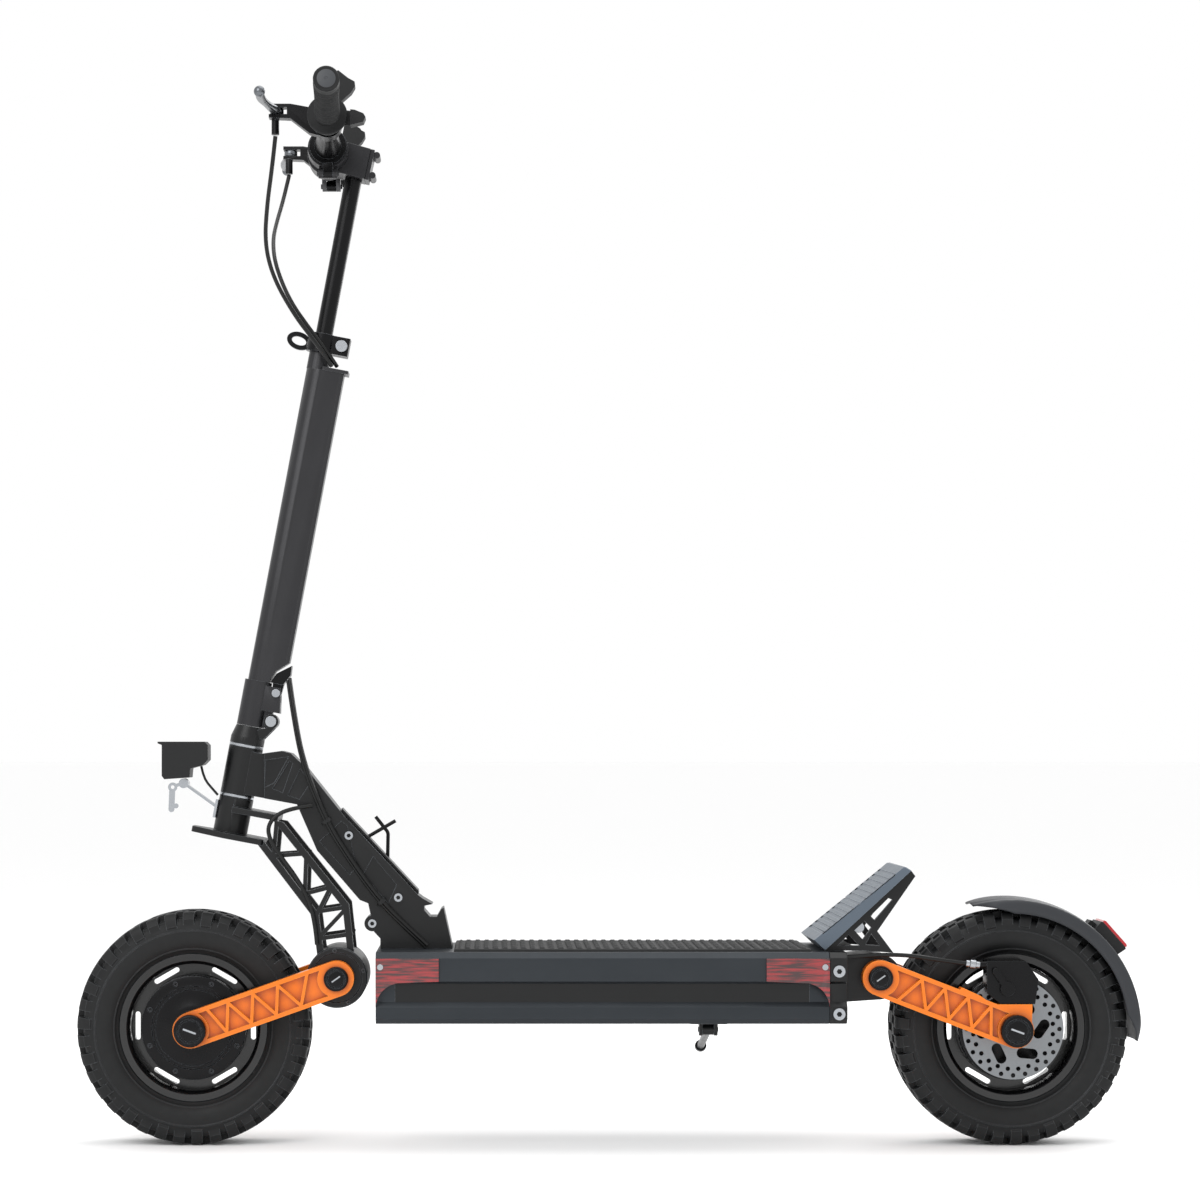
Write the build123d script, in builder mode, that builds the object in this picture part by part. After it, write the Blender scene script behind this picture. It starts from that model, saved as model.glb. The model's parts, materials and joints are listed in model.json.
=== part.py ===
"""Electric kick scooter with two sprung swing arms, a folding stem and folding handlebars.

Millimetres. The front points along -X, the rider's left side is -Y and +Z is up. The origin is on the
ground, in the middle of the scooter.
"""

import math
import os

from build123d import *

# ---- Overall layout ----
WHEEL_RADIUS = 140
FRONT_AXLE_X = -494
REAR_AXLE_X = 480
AXLE_Z = WHEEL_RADIUS
DECK_FRONT = -274.5
DECK_REAR = 257
DECK_HALF_WIDTH = 105
DECK_BOTTOM = 150
DECK_TOP = 234
HEAD_X = -439.1
HEAD_Z = 445.0
RAKE = 10.7
BAR_HALF_SPAN = 310

# ---- Clearances ----
RUNNING_GAP = 0.05
FREE_GAP = 0.3
SEAT_GAP = 0.1

# ---- Deck ----
DECK_WALL = 6
DECK_FLOOR = 6
DECK_CHAMFER = 7
DECK_RECESS = 6
DECK_RECESS_BOTTOM = 170
DECK_RECESS_TOP = 200
DECK_END_THICKNESS = 21
MAT_FRONT = -183
MAT_REAR = 238
MAT_HALF_WIDTH = 90
MAT_THICKNESS = 4.5
REFLECTOR_LENGTH = 74
REFLECTOR_THICKNESS = 2.5
REFLECTOR_TOP = DECK_TOP - DECK_CHAMFER
SCREW_RADIUS = 3.5
SCREW_HEAD = 1.5
END_BOLT_RADIUS = 7
END_BOLT_HEAD = 3.5
BATTERY_LENGTH = 310
BATTERY_WIDTH = 160
BATTERY_HEIGHT = 62
CONTROLLER_LENGTH = 120
CONTROLLER_WIDTH = 110
CONTROLLER_HEIGHT = 38
INSIDE_MARGIN = 12

# ---- Steering head, in the frame of the steering axis ----
HEAD_TUBE_RADIUS = 20.5
HEAD_TUBE_BOTTOM = -28
HEAD_TUBE_TOP = 30
STEERER_RADIUS = 13
RING_HEIGHT = 3
CONE_BOTTOM = HEAD_TUBE_TOP + RING_HEIGHT + FREE_GAP
CONE_TOP = 55.5
CROWN_TUBE_RADIUS = 20.5
CROWN_TUBE_TOP = HEAD_TUBE_BOTTOM - RING_HEIGHT - FREE_GAP
CROWN_PLATE_TOP = -74
CROWN_PLATE_THICKNESS = 7
CROWN_PLATE_FRONT = -45
CROWN_PLATE_REAR = 44
CROWN_PLATE_HALF_WIDTH = 46.6
SHELF_BOTTOM = -49
SHELF_THICKNESS = 7
SHELF_REAR = 56
NECK_HALF_WIDTH = 28

# ---- Fork legs and suspension ----
LEG_INNER = 36
LEG_THICKNESS = 9
LEG_BAR = 8
FRONT_PIVOT = (-322, 201)
REAR_PIVOT = (320, 202)
FRONT_HOUSING_RADIUS = 36
REAR_HOUSING_RADIUS = 27
HOUSING_HALF_WIDTH = 55
PIVOT_SHAFT_RADIUS = 10
ARM_INNER = 56
ARM_THICKNESS = 20
ARM_END_RADIUS = 21
ARM_RIM = 5
ARM_RIB = 3.5
ARM_POCKET_DEPTH = 6
ARM_BORE_RADIUS = 12
PIVOT_CAP_RADIUS = 14.5
AXLE_CAP_RADIUS = 19
CAP_HEIGHT = 5
AXLE_CAP_HEIGHT = 11
AXLE_RADIUS = 8

# ---- Wheels ----
TYRE_HALF_WIDTH = 44
BEAD_RADIUS = 84
BEAD_HALF_WIDTH = 30
RIM_WALL = 4
RIM_LIP = 88
HUB_RADIUS = 62.5
HUB_WALL = 5
HUB_HALF_WIDTH = 28
COVER_THICKNESS = 7
WEB_HALF_THICKNESS = 4
WEB_SLOTS = 6
WEB_SLOT_LENGTH = 34
WEB_SLOT_WIDTH = 6
STATOR_RADIUS = 50
STATOR_HALF_WIDTH = 20
DISC_RADIUS = 60
DISC_THICKNESS = 2
DISC_Y = 50
DISC_BOSS_RADIUS = 19
DISC_HOLES = 24
DISC_HOLE_INSET = 5
DISC_HOLE_ROW = 7.5
DISC_WINDOW_PLACE = 33.5
DISC_WINDOW_LENGTH = 25
DISC_WINDOW_WIDTH = 12
DISC_WINDOW_LEAN = 55
DISC_HOLE_RADIUS = 2.6
DISC_SPOKES = 6
FENDER_GAP = 11
FENDER_THICKNESS = 4
FENDER_HALF_WIDTH = 52
FENDER_SKIRT = 16

# ---- Rear brake, fender and tail light ----
COVER_BOSS = 3
AXLE_STEP_RADIUS = 11
arm_rib_places = [0.17, 0.27, 0.37, 0.44, 0.54, 0.61, 0.71, 0.78, 0.85]
CALIPER_SEAT = 171
CALIPER_INNER = 40
CALIPER_OUTER = 72
CALIPER_ARM_SEAT = 60
CALIPER_PIVOT = (470, 189)
CABLE_END_Y = 67
FENDER_START = -6
FENDER_END = 107
STRUT_Y = 76.1
STRUT_THICKNESS = 3
STRUT_ANGLE = 28
LIGHT_START = 34
LIGHT_END = 49

# ---- Stem, in the frame of the steering axis ----
FOLD_BACK = 24.3
FOLD_HEIGHT = 65.7
LATCH_BACK = 23.9
LATCH_HEIGHT = 100.2
SLEEVE_RADIUS = 16.5
SLEEVE_BOTTOM = CONE_TOP + FREE_GAP
SLEEVE_TOP = 111
STEM_FRONT = -13
STEM_REAR = 33
STEM_HALF_WIDTH = 16.5
STEM_TOP = 491
STEM_ROUND_TOP = 535
INNER_TUBE_RADIUS = 10.3
INNER_TUBE_WALL = 2
INNER_TUBE_BOTTOM = 330
SLIDE_TRAVEL = 160
INNER_TUBE_TOP = 752
SLIDE_BORE_RADIUS = INNER_TUBE_RADIUS + RUNNING_GAP
COLLAR_RADIUS = 18
STEM_ROUND_RADIUS = 13.5
GUIDE_THICKNESS = 4
GUIDE_REAR = 38
GUIDE_HALF_WIDTH = 18
COLLAR_BOTTOM = 512
COLLAR_TOP = 534
SKEWER_BACK = 24
SKEWER_HEIGHT = 523
SKEWER_RADIUS = 3
COLLAR_EAR_HALF_WIDTH = 13
EAR_RADIUS = 9
EAR_INNER = 8.3
EAR_OUTER = 14
FOLD_PIN_RADIUS = 4

# ---- Handlebar ----
BAR_X = -335
BAR_Z = 1183
BAR_END_X = -322
BAR_END_Z = 1215
BAR_RADIUS = 11
BAR_ROOT_RADIUS = 16
KNUCKLE_RADIUS = 24
KNUCKLE_START = 25
KNUCKLE_END = 43.5
CROSS_HALF_LENGTH = 30
TAPER_END = 96
CLAMP_HALF_WIDTH = 21
HINGE_X = -333
HINGE_Y = 46
HINGE_Z = 1156
HINGE_EAR_RADIUS = 6
HINGE_TONGUE = 5.7
HINGE_EAR_START = 6
HINGE_EAR_END = 11
BAR_FLANGE_RADIUS = 22
BAR_FLANGE_START = 44
BAR_FLANGE_END = 50
HINGE_PIN_RADIUS = 3
GRIP_START = 172
GRIP_RADIUS = 14.7
GRIP_FLANGE_RADIUS = 23.5
PERCH_PLACE = 126
PERCH_WIDTH = 16
LEVER_PIVOT_X = -388
LEVER_PIVOT_Y = 134
LEVER_Z = 1212
LEVER_REACH = 118
POD_PLACE = 146
POD_WIDTH = 17

BUTTON_RADIUS = 4.5
BUTTON_DEPTH = 4.5
BUTTON_TRAVEL = 2
PADDLE_PLACE = 167
PADDLE_RING_WIDTH = 4.4
PADDLE_PAD_START = 158
PADDLE_PAD_WIDTH = 20
PADDLE_ARM_START = 165.2
PADDLE_ARM_WIDTH = 3.4
CLAMP_BOLTS = [(-276, 1183), (-281.4, 1159)]

# ---- Neck, bag hook and lamp ----
NECK_POCKET_DEPTH = 2
NECK_LUG = (-281, 264)
NECK_LUG_RADIUS = 9.5
NECK_NOSE = -410
COVER_START = (-318, 402)
COVER_END = (-226, 303)
COVER_THICKNESS_NECK = 3.5
COVER_HALF_WIDTH = 20
HOOK_WIRE_RADIUS = 2.2
LAMP_HALF_WIDTH = 23
LAMP_FRONT = -533
LAMP_LENS_Z = 462
LAMP_LENS_RADIUS = 13
LAMP_LENS_THICKNESS = 3
LAMP_KNOB = (-508, 431)
LAMP_KNOB_RADIUS = 5.8
LAMP_STRAP_HALF_WIDTH = 8
LAMP_FOOT_GAP = CROWN_TUBE_RADIUS + SEAT_GAP

# ---- Kick plate and rear housing block ----
HOUSING_BLOCK_BOTTOM = 172
HOUSING_BLOCK_TOP = 223
KICK_HALF_WIDTH = 80
KICK_TOP_LINE = [(241, 247), (348, 334)]
KICK_LOW_LINE = [(254, 235), (356, 329)]
CHEEK_INNER = 60
CHEEK_THICKNESS = 9
KICK_SPACER = (296, 261)
KICK_SPACER_RADIUS = 6.5

# ---- Latch and collar clamp ----
LATCH_SLOT = 6
LATCH_PIVOT_RADIUS = 3
SKEWER_HEAD_RADIUS = 7
SKEWER_HEAD = 5
CAM_Y = 20
CAM_RADIUS = 4.8
LOOP_BACK = -30
LOOP_HEIGHT = 524

# ---- Kickstand ----
STAND_X = 117.5
STAND_Y = -62
STAND_Z = 140.5
STAND_LENGTH = 146
STAND_RADIUS = 4.5
STAND_FOOT_RADIUS = 7
STAND_DROOP = 13
STAND_BARREL_RADIUS = 7.5
STAND_PIN_RADIUS = 3
STAND_EAR_START = 7
STAND_EAR_END = 11

# ---- Cables ----
BUNDLE_RADIUS = 4.5
CABLE_RADIUS = 2.5

os.makedirs("parts", exist_ok=True)


def save(builder, label):
    """Label a finished piece and write it as its own STEP file."""
    builder.part.label = label
    export_step(builder.part, f"parts/{label}.step")


def side_plane(distance):
    """The side view's plane, a distance to the left of the middle; extrusions go further left."""
    return Plane.XZ.offset(distance)


def strut(start, end, width):
    """Add one straight bar with round ends to the sketch that is being built."""
    middle = ((start[0] + end[0]) / 2, (start[1] + end[1]) / 2)
    length = math.dist(start, end)
    turn = math.degrees(math.atan2(end[1] - start[1], end[0] - start[0]))
    with Locations(middle):
        SlotOverall(length + width, width, rotation=turn)


def on_line(start, end, share):
    """The point that lies a share of the way from start to end."""
    return tuple(a + (b - a) * share for a, b in zip(start, end))


def cable_path(points):
    """Straight runs joined by tangent arcs, each arc as large as its two runs allow."""
    vectors = [Vector(*point) for point in points]
    radii = []
    for before, corner, after in zip(vectors, vectors[1:], vectors[2:]):
        turn = math.radians((corner - before).get_angle(after - corner))
        shorter = min((corner - before).length, (after - corner).length)
        radii.append(0.45 * shorter / math.tan(turn / 2))
    print("cable radii", [round(radius) for radius in radii])
    return FilletPolyline(*vectors, radius=radii)


slope = math.radians(RAKE)
steer = Plane(
    origin=(HEAD_X, 0, HEAD_Z),
    x_dir=(math.cos(slope), 0, -math.sin(slope)),
    z_dir=(math.sin(slope), 0, math.cos(slope)),
)
steer_side = Plane(origin=steer.origin, x_dir=steer.x_dir, z_dir=(0, -1, 0))


def steer_point(back, height):
    """World X and Z of a point behind the steering axis and up along it."""
    x = HEAD_X + back * math.cos(slope) + height * math.sin(slope)
    z = HEAD_Z - back * math.sin(slope) + height * math.cos(slope)
    return (x, z)


def wheel_plane(x, distance=0):
    """Plane of a wheel, a distance to the left of its middle."""
    return Plane(origin=(x, -distance, AXLE_Z), x_dir=(1, 0, 0), z_dir=(0, -1, 0))


# ---------------------------------------------------------------- deck
def deck_outline():
    """Cross-section of the deck, with a chamfered top edge and a long recess in each side."""
    half = [
        (0, DECK_BOTTOM),
        (DECK_HALF_WIDTH - DECK_RECESS, DECK_BOTTOM),
        (DECK_HALF_WIDTH, DECK_BOTTOM + DECK_RECESS),
        (DECK_HALF_WIDTH, DECK_RECESS_BOTTOM),
        (DECK_HALF_WIDTH - DECK_RECESS, DECK_RECESS_BOTTOM + DECK_RECESS),
        (DECK_HALF_WIDTH - DECK_RECESS, DECK_RECESS_TOP - DECK_RECESS / 2),
        (DECK_HALF_WIDTH, DECK_RECESS_TOP),
        (DECK_HALF_WIDTH, DECK_TOP - DECK_CHAMFER),
        (DECK_HALF_WIDTH - DECK_CHAMFER, DECK_TOP),
        (0, DECK_TOP),
    ]
    return half + [(-y, z) for y, z in reversed(half[1:-1])]


cavity_height = DECK_TOP - DECK_BOTTOM - 2 * DECK_FLOOR
cavity_middle = (DECK_TOP + DECK_BOTTOM) / 2
cavity_half_width = DECK_HALF_WIDTH - DECK_RECESS - DECK_WALL
cavity_bottom = DECK_BOTTOM + DECK_FLOOR

with BuildPart() as deck_shell:
    with BuildSketch(Plane.YZ.offset(DECK_FRONT)):
        Polygon(*deck_outline(), align=None)
    extrude(amount=DECK_REAR - DECK_FRONT)
    with BuildSketch(Plane.YZ.offset(DECK_FRONT + DECK_WALL)):
        with Locations((0, cavity_middle)):
            RectangleRounded(2 * cavity_half_width, cavity_height, DECK_WALL / 2)
    extrude(amount=DECK_REAR - DECK_FRONT, mode=Mode.SUBTRACT)
save(deck_shell, "deck_shell")

with BuildPart() as deck_mat:
    with BuildSketch(Plane.XY.offset(DECK_TOP)):
        with Locations(((MAT_FRONT + MAT_REAR) / 2, 0)):
            RectangleRounded(MAT_REAR - MAT_FRONT, 2 * MAT_HALF_WIDTH, 8)
    extrude(amount=MAT_THICKNESS)
save(deck_mat, "deck_mat")

with BuildPart() as side_reflectors:
    for near, far in ((DECK_FRONT, DECK_FRONT + REFLECTOR_LENGTH), (DECK_REAR, DECK_REAR - REFLECTOR_LENGTH)):
        for face in (DECK_HALF_WIDTH, -DECK_HALF_WIDTH - REFLECTOR_THICKNESS):
            with BuildSketch(side_plane(face)):
                with BuildLine():
                    Polyline(
                        (near, DECK_RECESS_BOTTOM),
                        (near, REFLECTOR_TOP),
                        (far, REFLECTOR_TOP),
                        (far, DECK_RECESS_TOP),
                        (near + (far - near) / 3, DECK_RECESS_TOP - 2),
                    )
                    Spline(
                        (near + (far - near) / 3, DECK_RECESS_TOP - 2),
                        (near + (far - near) / 8, DECK_RECESS_TOP - 10),
                        (near, DECK_RECESS_BOTTOM),
                    )
                make_face()
            extrude(amount=REFLECTOR_THICKNESS)
save(side_reflectors, "side_reflectors")

with BuildPart() as battery_pack:
    with BuildSketch(Plane.XY.offset(cavity_bottom)):
        with Locations((DECK_FRONT + DECK_WALL + INSIDE_MARGIN + BATTERY_LENGTH / 2, 0)):
            RectangleRounded(BATTERY_LENGTH, BATTERY_WIDTH, 5)
    extrude(amount=BATTERY_HEIGHT)
save(battery_pack, "battery_pack")

controller_x = DECK_FRONT + DECK_WALL + 2 * INSIDE_MARGIN + BATTERY_LENGTH + CONTROLLER_LENGTH / 2
with BuildPart() as controller:
    with BuildSketch(Plane.XY.offset(cavity_bottom)):
        with Locations((controller_x, 0)):
            RectangleRounded(CONTROLLER_LENGTH, CONTROLLER_WIDTH, 4)
    extrude(amount=CONTROLLER_HEIGHT)
    for place in range(-4, 5):
        with BuildSketch(Plane.YZ.offset(controller_x - CONTROLLER_LENGTH / 2)):
            with Locations((place * 12, cavity_bottom + CONTROLLER_HEIGHT)):
                Rectangle(4, 12)
        extrude(amount=CONTROLLER_LENGTH, mode=Mode.SUBTRACT)
save(controller, "controller")

# ---------------------------------------------------------------- neck and steering head
neck_points = [
    steer_point(4, HEAD_TUBE_BOTTOM + 2),
    (-371, 406),
    (-347, 351),
    (-296, 292),
    (-286, 288),
    (-283, 274),
    (-279, 254),
    (DECK_FRONT + 3, 246),
    (DECK_FRONT + 3, DECK_TOP),
    (-185, DECK_TOP),
    (-196, 283),
    (-199, 281),
    (-204, 272),
    (-212, 272),
    (-219, 280),
    (-219, 285),
    (-209, 287),
    (-221, 294),
    (-226, 297.7),
    (-270, 345),
    (-290, 366.5),
    (-314, 391.5),
    (-362, 452),
    (-372, 461),
    (-378, 467),
    (-389, 470),
    steer_point(21, HEAD_TUBE_TOP - 4),
    steer_point(4, HEAD_TUBE_TOP - 4),
]
neck_pockets = [
    [(-408, 459), (-381, 463), (-398, 432), (-410, 426)],
    [(-400, 425), (-388, 420), (-376, 455), (-380, 458)],
    [(-382, 417), (-368, 412), (-355, 432), (-367, 449)],
    [(-344, 362), (-318, 386), (-311, 381), (-300, 332), (-308, 322)],
    [(-292, 322), (-280, 344), (-252, 310), (-262, 288)],
]

with BuildPart() as neck_frame:
    with BuildSketch(side_plane(-NECK_HALF_WIDTH)):
        Polygon(*neck_points, align=None)
        with Locations(NECK_LUG):
            Circle(NECK_LUG_RADIUS)
    extrude(amount=2 * NECK_HALF_WIDTH)
    # The front of the casting narrows to meet the head tube.
    for face in (HEAD_TUBE_RADIUS - 2, -NECK_HALF_WIDTH - 1):
        with BuildSketch(side_plane(face)):
            with Locations((NECK_NOSE - 30, HEAD_Z)):
                Rectangle(60, 160)
        extrude(amount=NECK_HALF_WIDTH + 3 - HEAD_TUBE_RADIUS, mode=Mode.SUBTRACT)
    for face in (NECK_HALF_WIDTH - NECK_POCKET_DEPTH, -NECK_HALF_WIDTH):
        for pocket in neck_pockets:
            with BuildSketch(side_plane(face)):
                Polygon(*pocket, align=None)
            extrude(amount=NECK_POCKET_DEPTH, mode=Mode.SUBTRACT)
    with BuildSketch(steer.offset(HEAD_TUBE_BOTTOM)):
        Circle(HEAD_TUBE_RADIUS)
    extrude(amount=HEAD_TUBE_TOP - HEAD_TUBE_BOTTOM)
    with BuildSketch(steer.offset(HEAD_TUBE_BOTTOM)):
        Circle(STEERER_RADIUS + RUNNING_GAP)
    extrude(amount=HEAD_TUBE_TOP - HEAD_TUBE_BOTTOM, mode=Mode.SUBTRACT)
save(neck_frame, "neck_frame")

with BuildPart() as headset_rings:
    for bottom in (HEAD_TUBE_BOTTOM - RING_HEIGHT, HEAD_TUBE_TOP):
        with BuildSketch(steer.offset(bottom)):
            Circle(HEAD_TUBE_RADIUS)
            Circle(STEERER_RADIUS + RUNNING_GAP, mode=Mode.SUBTRACT)
        extrude(amount=RING_HEIGHT)
save(headset_rings, "headset_rings")

with BuildPart() as neck_cover:
    with BuildSketch(side_plane(-COVER_HALF_WIDTH)):
        drop = COVER_THICKNESS_NECK / math.cos(math.atan2(99, 92))
        Polygon(
            COVER_START,
            COVER_END,
            (COVER_END[0], COVER_END[1] - drop + 0.7),
            (COVER_START[0], COVER_START[1] - drop + 0.7),
            align=None,
        )
    extrude(amount=2 * COVER_HALF_WIDTH)
save(neck_cover, "neck_cover")

with BuildPart() as bag_hook:
    with BuildLine():
        Line((-293, 0, 363.5), (-254, 0, 386))
    with BuildSketch(Plane(origin=(-293, 0, 363.5), z_dir=(39, 0, 22.5))):
        Circle(HOOK_WIRE_RADIUS)
    sweep()
    with BuildLine():
        FilletPolyline((-263.5, 0, 341), (-263, 0, 372), (-278, 0, 391), radius=8)
    with BuildSketch(Plane(origin=(-263.5, 0, 341), z_dir=(0.5, 0, 31))):
        Circle(HOOK_WIRE_RADIUS)
    sweep()
save(bag_hook, "bag_hook")

# ---------------------------------------------------------------- rear torsion housing
with BuildPart() as rear_torsion_housing:
    with BuildSketch(Plane.YZ.offset(DECK_REAR)):
        Polygon(*deck_outline(), align=None)
    extrude(amount=DECK_END_THICKNESS)
    with BuildSketch(side_plane(-HOUSING_HALF_WIDTH)):
        Polygon(
            (DECK_REAR + DECK_END_THICKNESS - 1, HOUSING_BLOCK_BOTTOM),
            (REAR_PIVOT[0], REAR_PIVOT[1] - REAR_HOUSING_RADIUS),
            (REAR_PIVOT[0], REAR_PIVOT[1] + REAR_HOUSING_RADIUS),
            (DECK_REAR + DECK_END_THICKNESS - 1, HOUSING_BLOCK_TOP),
            align=None,
        )
        with Locations(REAR_PIVOT):
            Circle(REAR_HOUSING_RADIUS)
            Circle(PIVOT_SHAFT_RADIUS + RUNNING_GAP, mode=Mode.SUBTRACT)
    extrude(amount=2 * HOUSING_HALF_WIDTH)
save(rear_torsion_housing, "rear_torsion_housing")

# ---------------------------------------------------------------- kick plate at the back of the deck

with BuildPart() as kick_plate:
    with BuildSketch(side_plane(-KICK_HALF_WIDTH)):
        Polygon(KICK_TOP_LINE[0], KICK_TOP_LINE[1], KICK_LOW_LINE[1], KICK_LOW_LINE[0], align=None)
    extrude(amount=2 * KICK_HALF_WIDTH)
    fillet(kick_plate.edges().filter_by(Axis.Y).group_by(Axis.Z)[-1], radius=2)
save(kick_plate, "kick_plate")

cheek_points = [
    (255, DECK_TOP),
    (300, DECK_TOP),
    (336, 231.5),
    (317, 257),
    (362, 322),
    (356.5, 329.2),
    (255, 235.6),
]
cheek_holes = [
    [(270, 240), (296, 240), (283, 253)],
    [(303, 241), (320, 240), (310, 254)],
    [(290, 258), (300, 247), (310, 261), (302, 269)],
    [(314, 270), (309, 275), (330, 296), (335, 294)],
]
with BuildPart() as kick_bracket:
    for face in (CHEEK_INNER, -CHEEK_INNER - CHEEK_THICKNESS):
        with BuildSketch(side_plane(face)):
            Polygon(*cheek_points, align=None)
            for hole in cheek_holes:
                Polygon(*hole, align=None, mode=Mode.SUBTRACT)
        extrude(amount=CHEEK_THICKNESS)
    with BuildSketch(side_plane(-CHEEK_INNER)):
        Polygon((258, DECK_TOP), (290, DECK_TOP), (290, 239), (262, 239), align=None)
    extrude(amount=2 * CHEEK_INNER)
save(kick_bracket, "kick_bracket")

# ---------------------------------------------------------------- fork
with BuildPart() as fork_crown:
    with BuildSketch(steer.offset(CROWN_PLATE_TOP - CROWN_PLATE_THICKNESS)) as crown_outline:
        with BuildLine():
            Polyline(
                (CROWN_PLATE_REAR, -CROWN_PLATE_HALF_WIDTH),
                (CROWN_PLATE_REAR, CROWN_PLATE_HALF_WIDTH),
                (-5, CROWN_PLATE_HALF_WIDTH),
                (CROWN_PLATE_FRONT, 16),
                (CROWN_PLATE_FRONT, -16),
                (-5, -CROWN_PLATE_HALF_WIDTH),
                close=True,
            )
        make_face()
        fillet(crown_outline.vertices(), radius=6)
    extrude(amount=CROWN_PLATE_THICKNESS)
    # A shelf behind the crown tube carries the tops of the rear legs.
    with BuildSketch(steer.offset(SHELF_BOTTOM)):
        with Locations((SHELF_REAR / 2, 0)):
            Rectangle(SHELF_REAR, 2 * CROWN_PLATE_HALF_WIDTH)
    extrude(amount=SHELF_THICKNESS)
    with BuildSketch(steer.offset(CROWN_PLATE_TOP)):
        Circle(CROWN_TUBE_RADIUS)
    extrude(amount=CROWN_TUBE_TOP - CROWN_PLATE_TOP)
    with BuildSketch(steer.offset(CROWN_TUBE_TOP)):
        Circle(STEERER_RADIUS)
    extrude(amount=CONE_TOP - 2 - CROWN_TUBE_TOP)
save(fork_crown, "fork_crown")

leg_struts = [
    ((-415, 363), (-348, 275), LEG_BAR),
    ((-348, 275), (-342, 228), LEG_BAR),
    ((-400, 396), (-312, 286), LEG_BAR),
    ((-312, 286), (-306, 230), LEG_BAR),
    ((-394, 388), (-398, 343), 5),
    ((-398, 345), (-359, 348), 5),
    ((-359, 346), (-361, 292), 5),
    ((-361, 300), (-330, 308), 5),
    ((-330, 308), (-346, 276), 5),
    ((-345, 279), (-312, 284), 5),
    ((-312, 282), (-342, 250), 5),
    ((-342, 247), (-306, 252), 5),
]
with BuildPart() as fork_trusses:
    for face in (LEG_INNER, -LEG_INNER - LEG_THICKNESS):
        with BuildSketch(side_plane(face)):
            for start, end, width in leg_struts:
                strut(start, end, width)
            with Locations(FRONT_PIVOT):
                Circle(FRONT_HOUSING_RADIUS + SEAT_GAP, mode=Mode.SUBTRACT)
        extrude(amount=LEG_THICKNESS)
    # The legs stop at the undersides of the crown plate and of the shelf.
    for bottom, top, rear in (
        (CROWN_PLATE_TOP - CROWN_PLATE_THICKNESS, SHELF_BOTTOM, CROWN_PLATE_REAR + SEAT_GAP),
        (SHELF_BOTTOM, SHELF_BOTTOM + 4 * SHELF_THICKNESS, SHELF_REAR + LEG_BAR),
    ):
        with BuildSketch(steer.offset(bottom)):
            with Locations((rear / 2 - 20, 0)):
                Rectangle(rear + 40, 4 * LEG_INNER)
        extrude(amount=top - bottom, mode=Mode.SUBTRACT)
save(fork_trusses, "fork_trusses")

with BuildPart() as front_torsion_housing:
    with BuildSketch(side_plane(-HOUSING_HALF_WIDTH)):
        with Locations(FRONT_PIVOT):
            Circle(FRONT_HOUSING_RADIUS)
            Circle(PIVOT_SHAFT_RADIUS + RUNNING_GAP, mode=Mode.SUBTRACT)
    extrude(amount=2 * HOUSING_HALF_WIDTH)
    chamfer(front_torsion_housing.edges().filter_by(GeomType.CIRCLE).group_by(SortBy.RADIUS)[-1], length=2)
save(front_torsion_housing, "front_torsion_housing")

# ---------------------------------------------------------------- headlight
lamp_points = [
    (-538, 481),
    (-482, 481),
    (-478, 477),
    (-478, 459),
    (-484, 453),
    (-499, 449),
    (-500, 438),
    (-530, 436),
    (LAMP_FRONT, 440),
    (LAMP_FRONT, 477),
    (-538, 479),
]
with BuildPart() as headlight:
    with BuildSketch(side_plane(-LAMP_HALF_WIDTH)):
        Polygon(*lamp_points, align=None)
    extrude(amount=2 * LAMP_HALF_WIDTH)
    with BuildSketch(Plane.YZ.offset(LAMP_FRONT)):
        with Locations((0, LAMP_LENS_Z)):
            Circle(LAMP_LENS_RADIUS)
    extrude(amount=6, mode=Mode.SUBTRACT)
    with BuildSketch(Plane.YZ.offset(LAMP_FRONT - 1)):
        with Locations((0, LAMP_LENS_Z)):
            Circle(LAMP_LENS_RADIUS - SEAT_GAP)
    extrude(amount=LAMP_LENS_THICKNESS)
save(headlight, "headlight")

with BuildPart() as headlight_bracket:
    with BuildSketch(side_plane(-LAMP_STRAP_HALF_WIDTH)):
        strut(LAMP_KNOB, steer_point(-LAMP_FOOT_GAP - 2.5, -46), 3)
    extrude(amount=2 * LAMP_STRAP_HALF_WIDTH)
    with BuildSketch(steer_side.offset(-LAMP_STRAP_HALF_WIDTH)):
        with Locations((-LAMP_FOOT_GAP - 1.5, -49)):
            Rectangle(3, 22)
    extrude(amount=2 * LAMP_STRAP_HALF_WIDTH)
    with BuildSketch(side_plane(-LAMP_STRAP_HALF_WIDTH - 3)):
        with Locations(LAMP_KNOB):
            Circle(LAMP_KNOB_RADIUS)
    extrude(amount=2 * LAMP_STRAP_HALF_WIDTH + 6)
    # A tab with an eye hangs from the knob's end.
    with BuildSketch(side_plane(LAMP_STRAP_HALF_WIDTH)):
        strut(LAMP_KNOB, (-519, 428), 4)
        with Locations((-521, 426.5)):
            Circle(5.5)
        strut((-521.5, 424), (-522.5, 400), 7)
        with Locations((-517, 404)):
            Circle(3)
        with Locations((-521, 426.5)):
            Circle(2.2, mode=Mode.SUBTRACT)
    extrude(amount=3)
save(headlight_bracket, "headlight_bracket")

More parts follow.
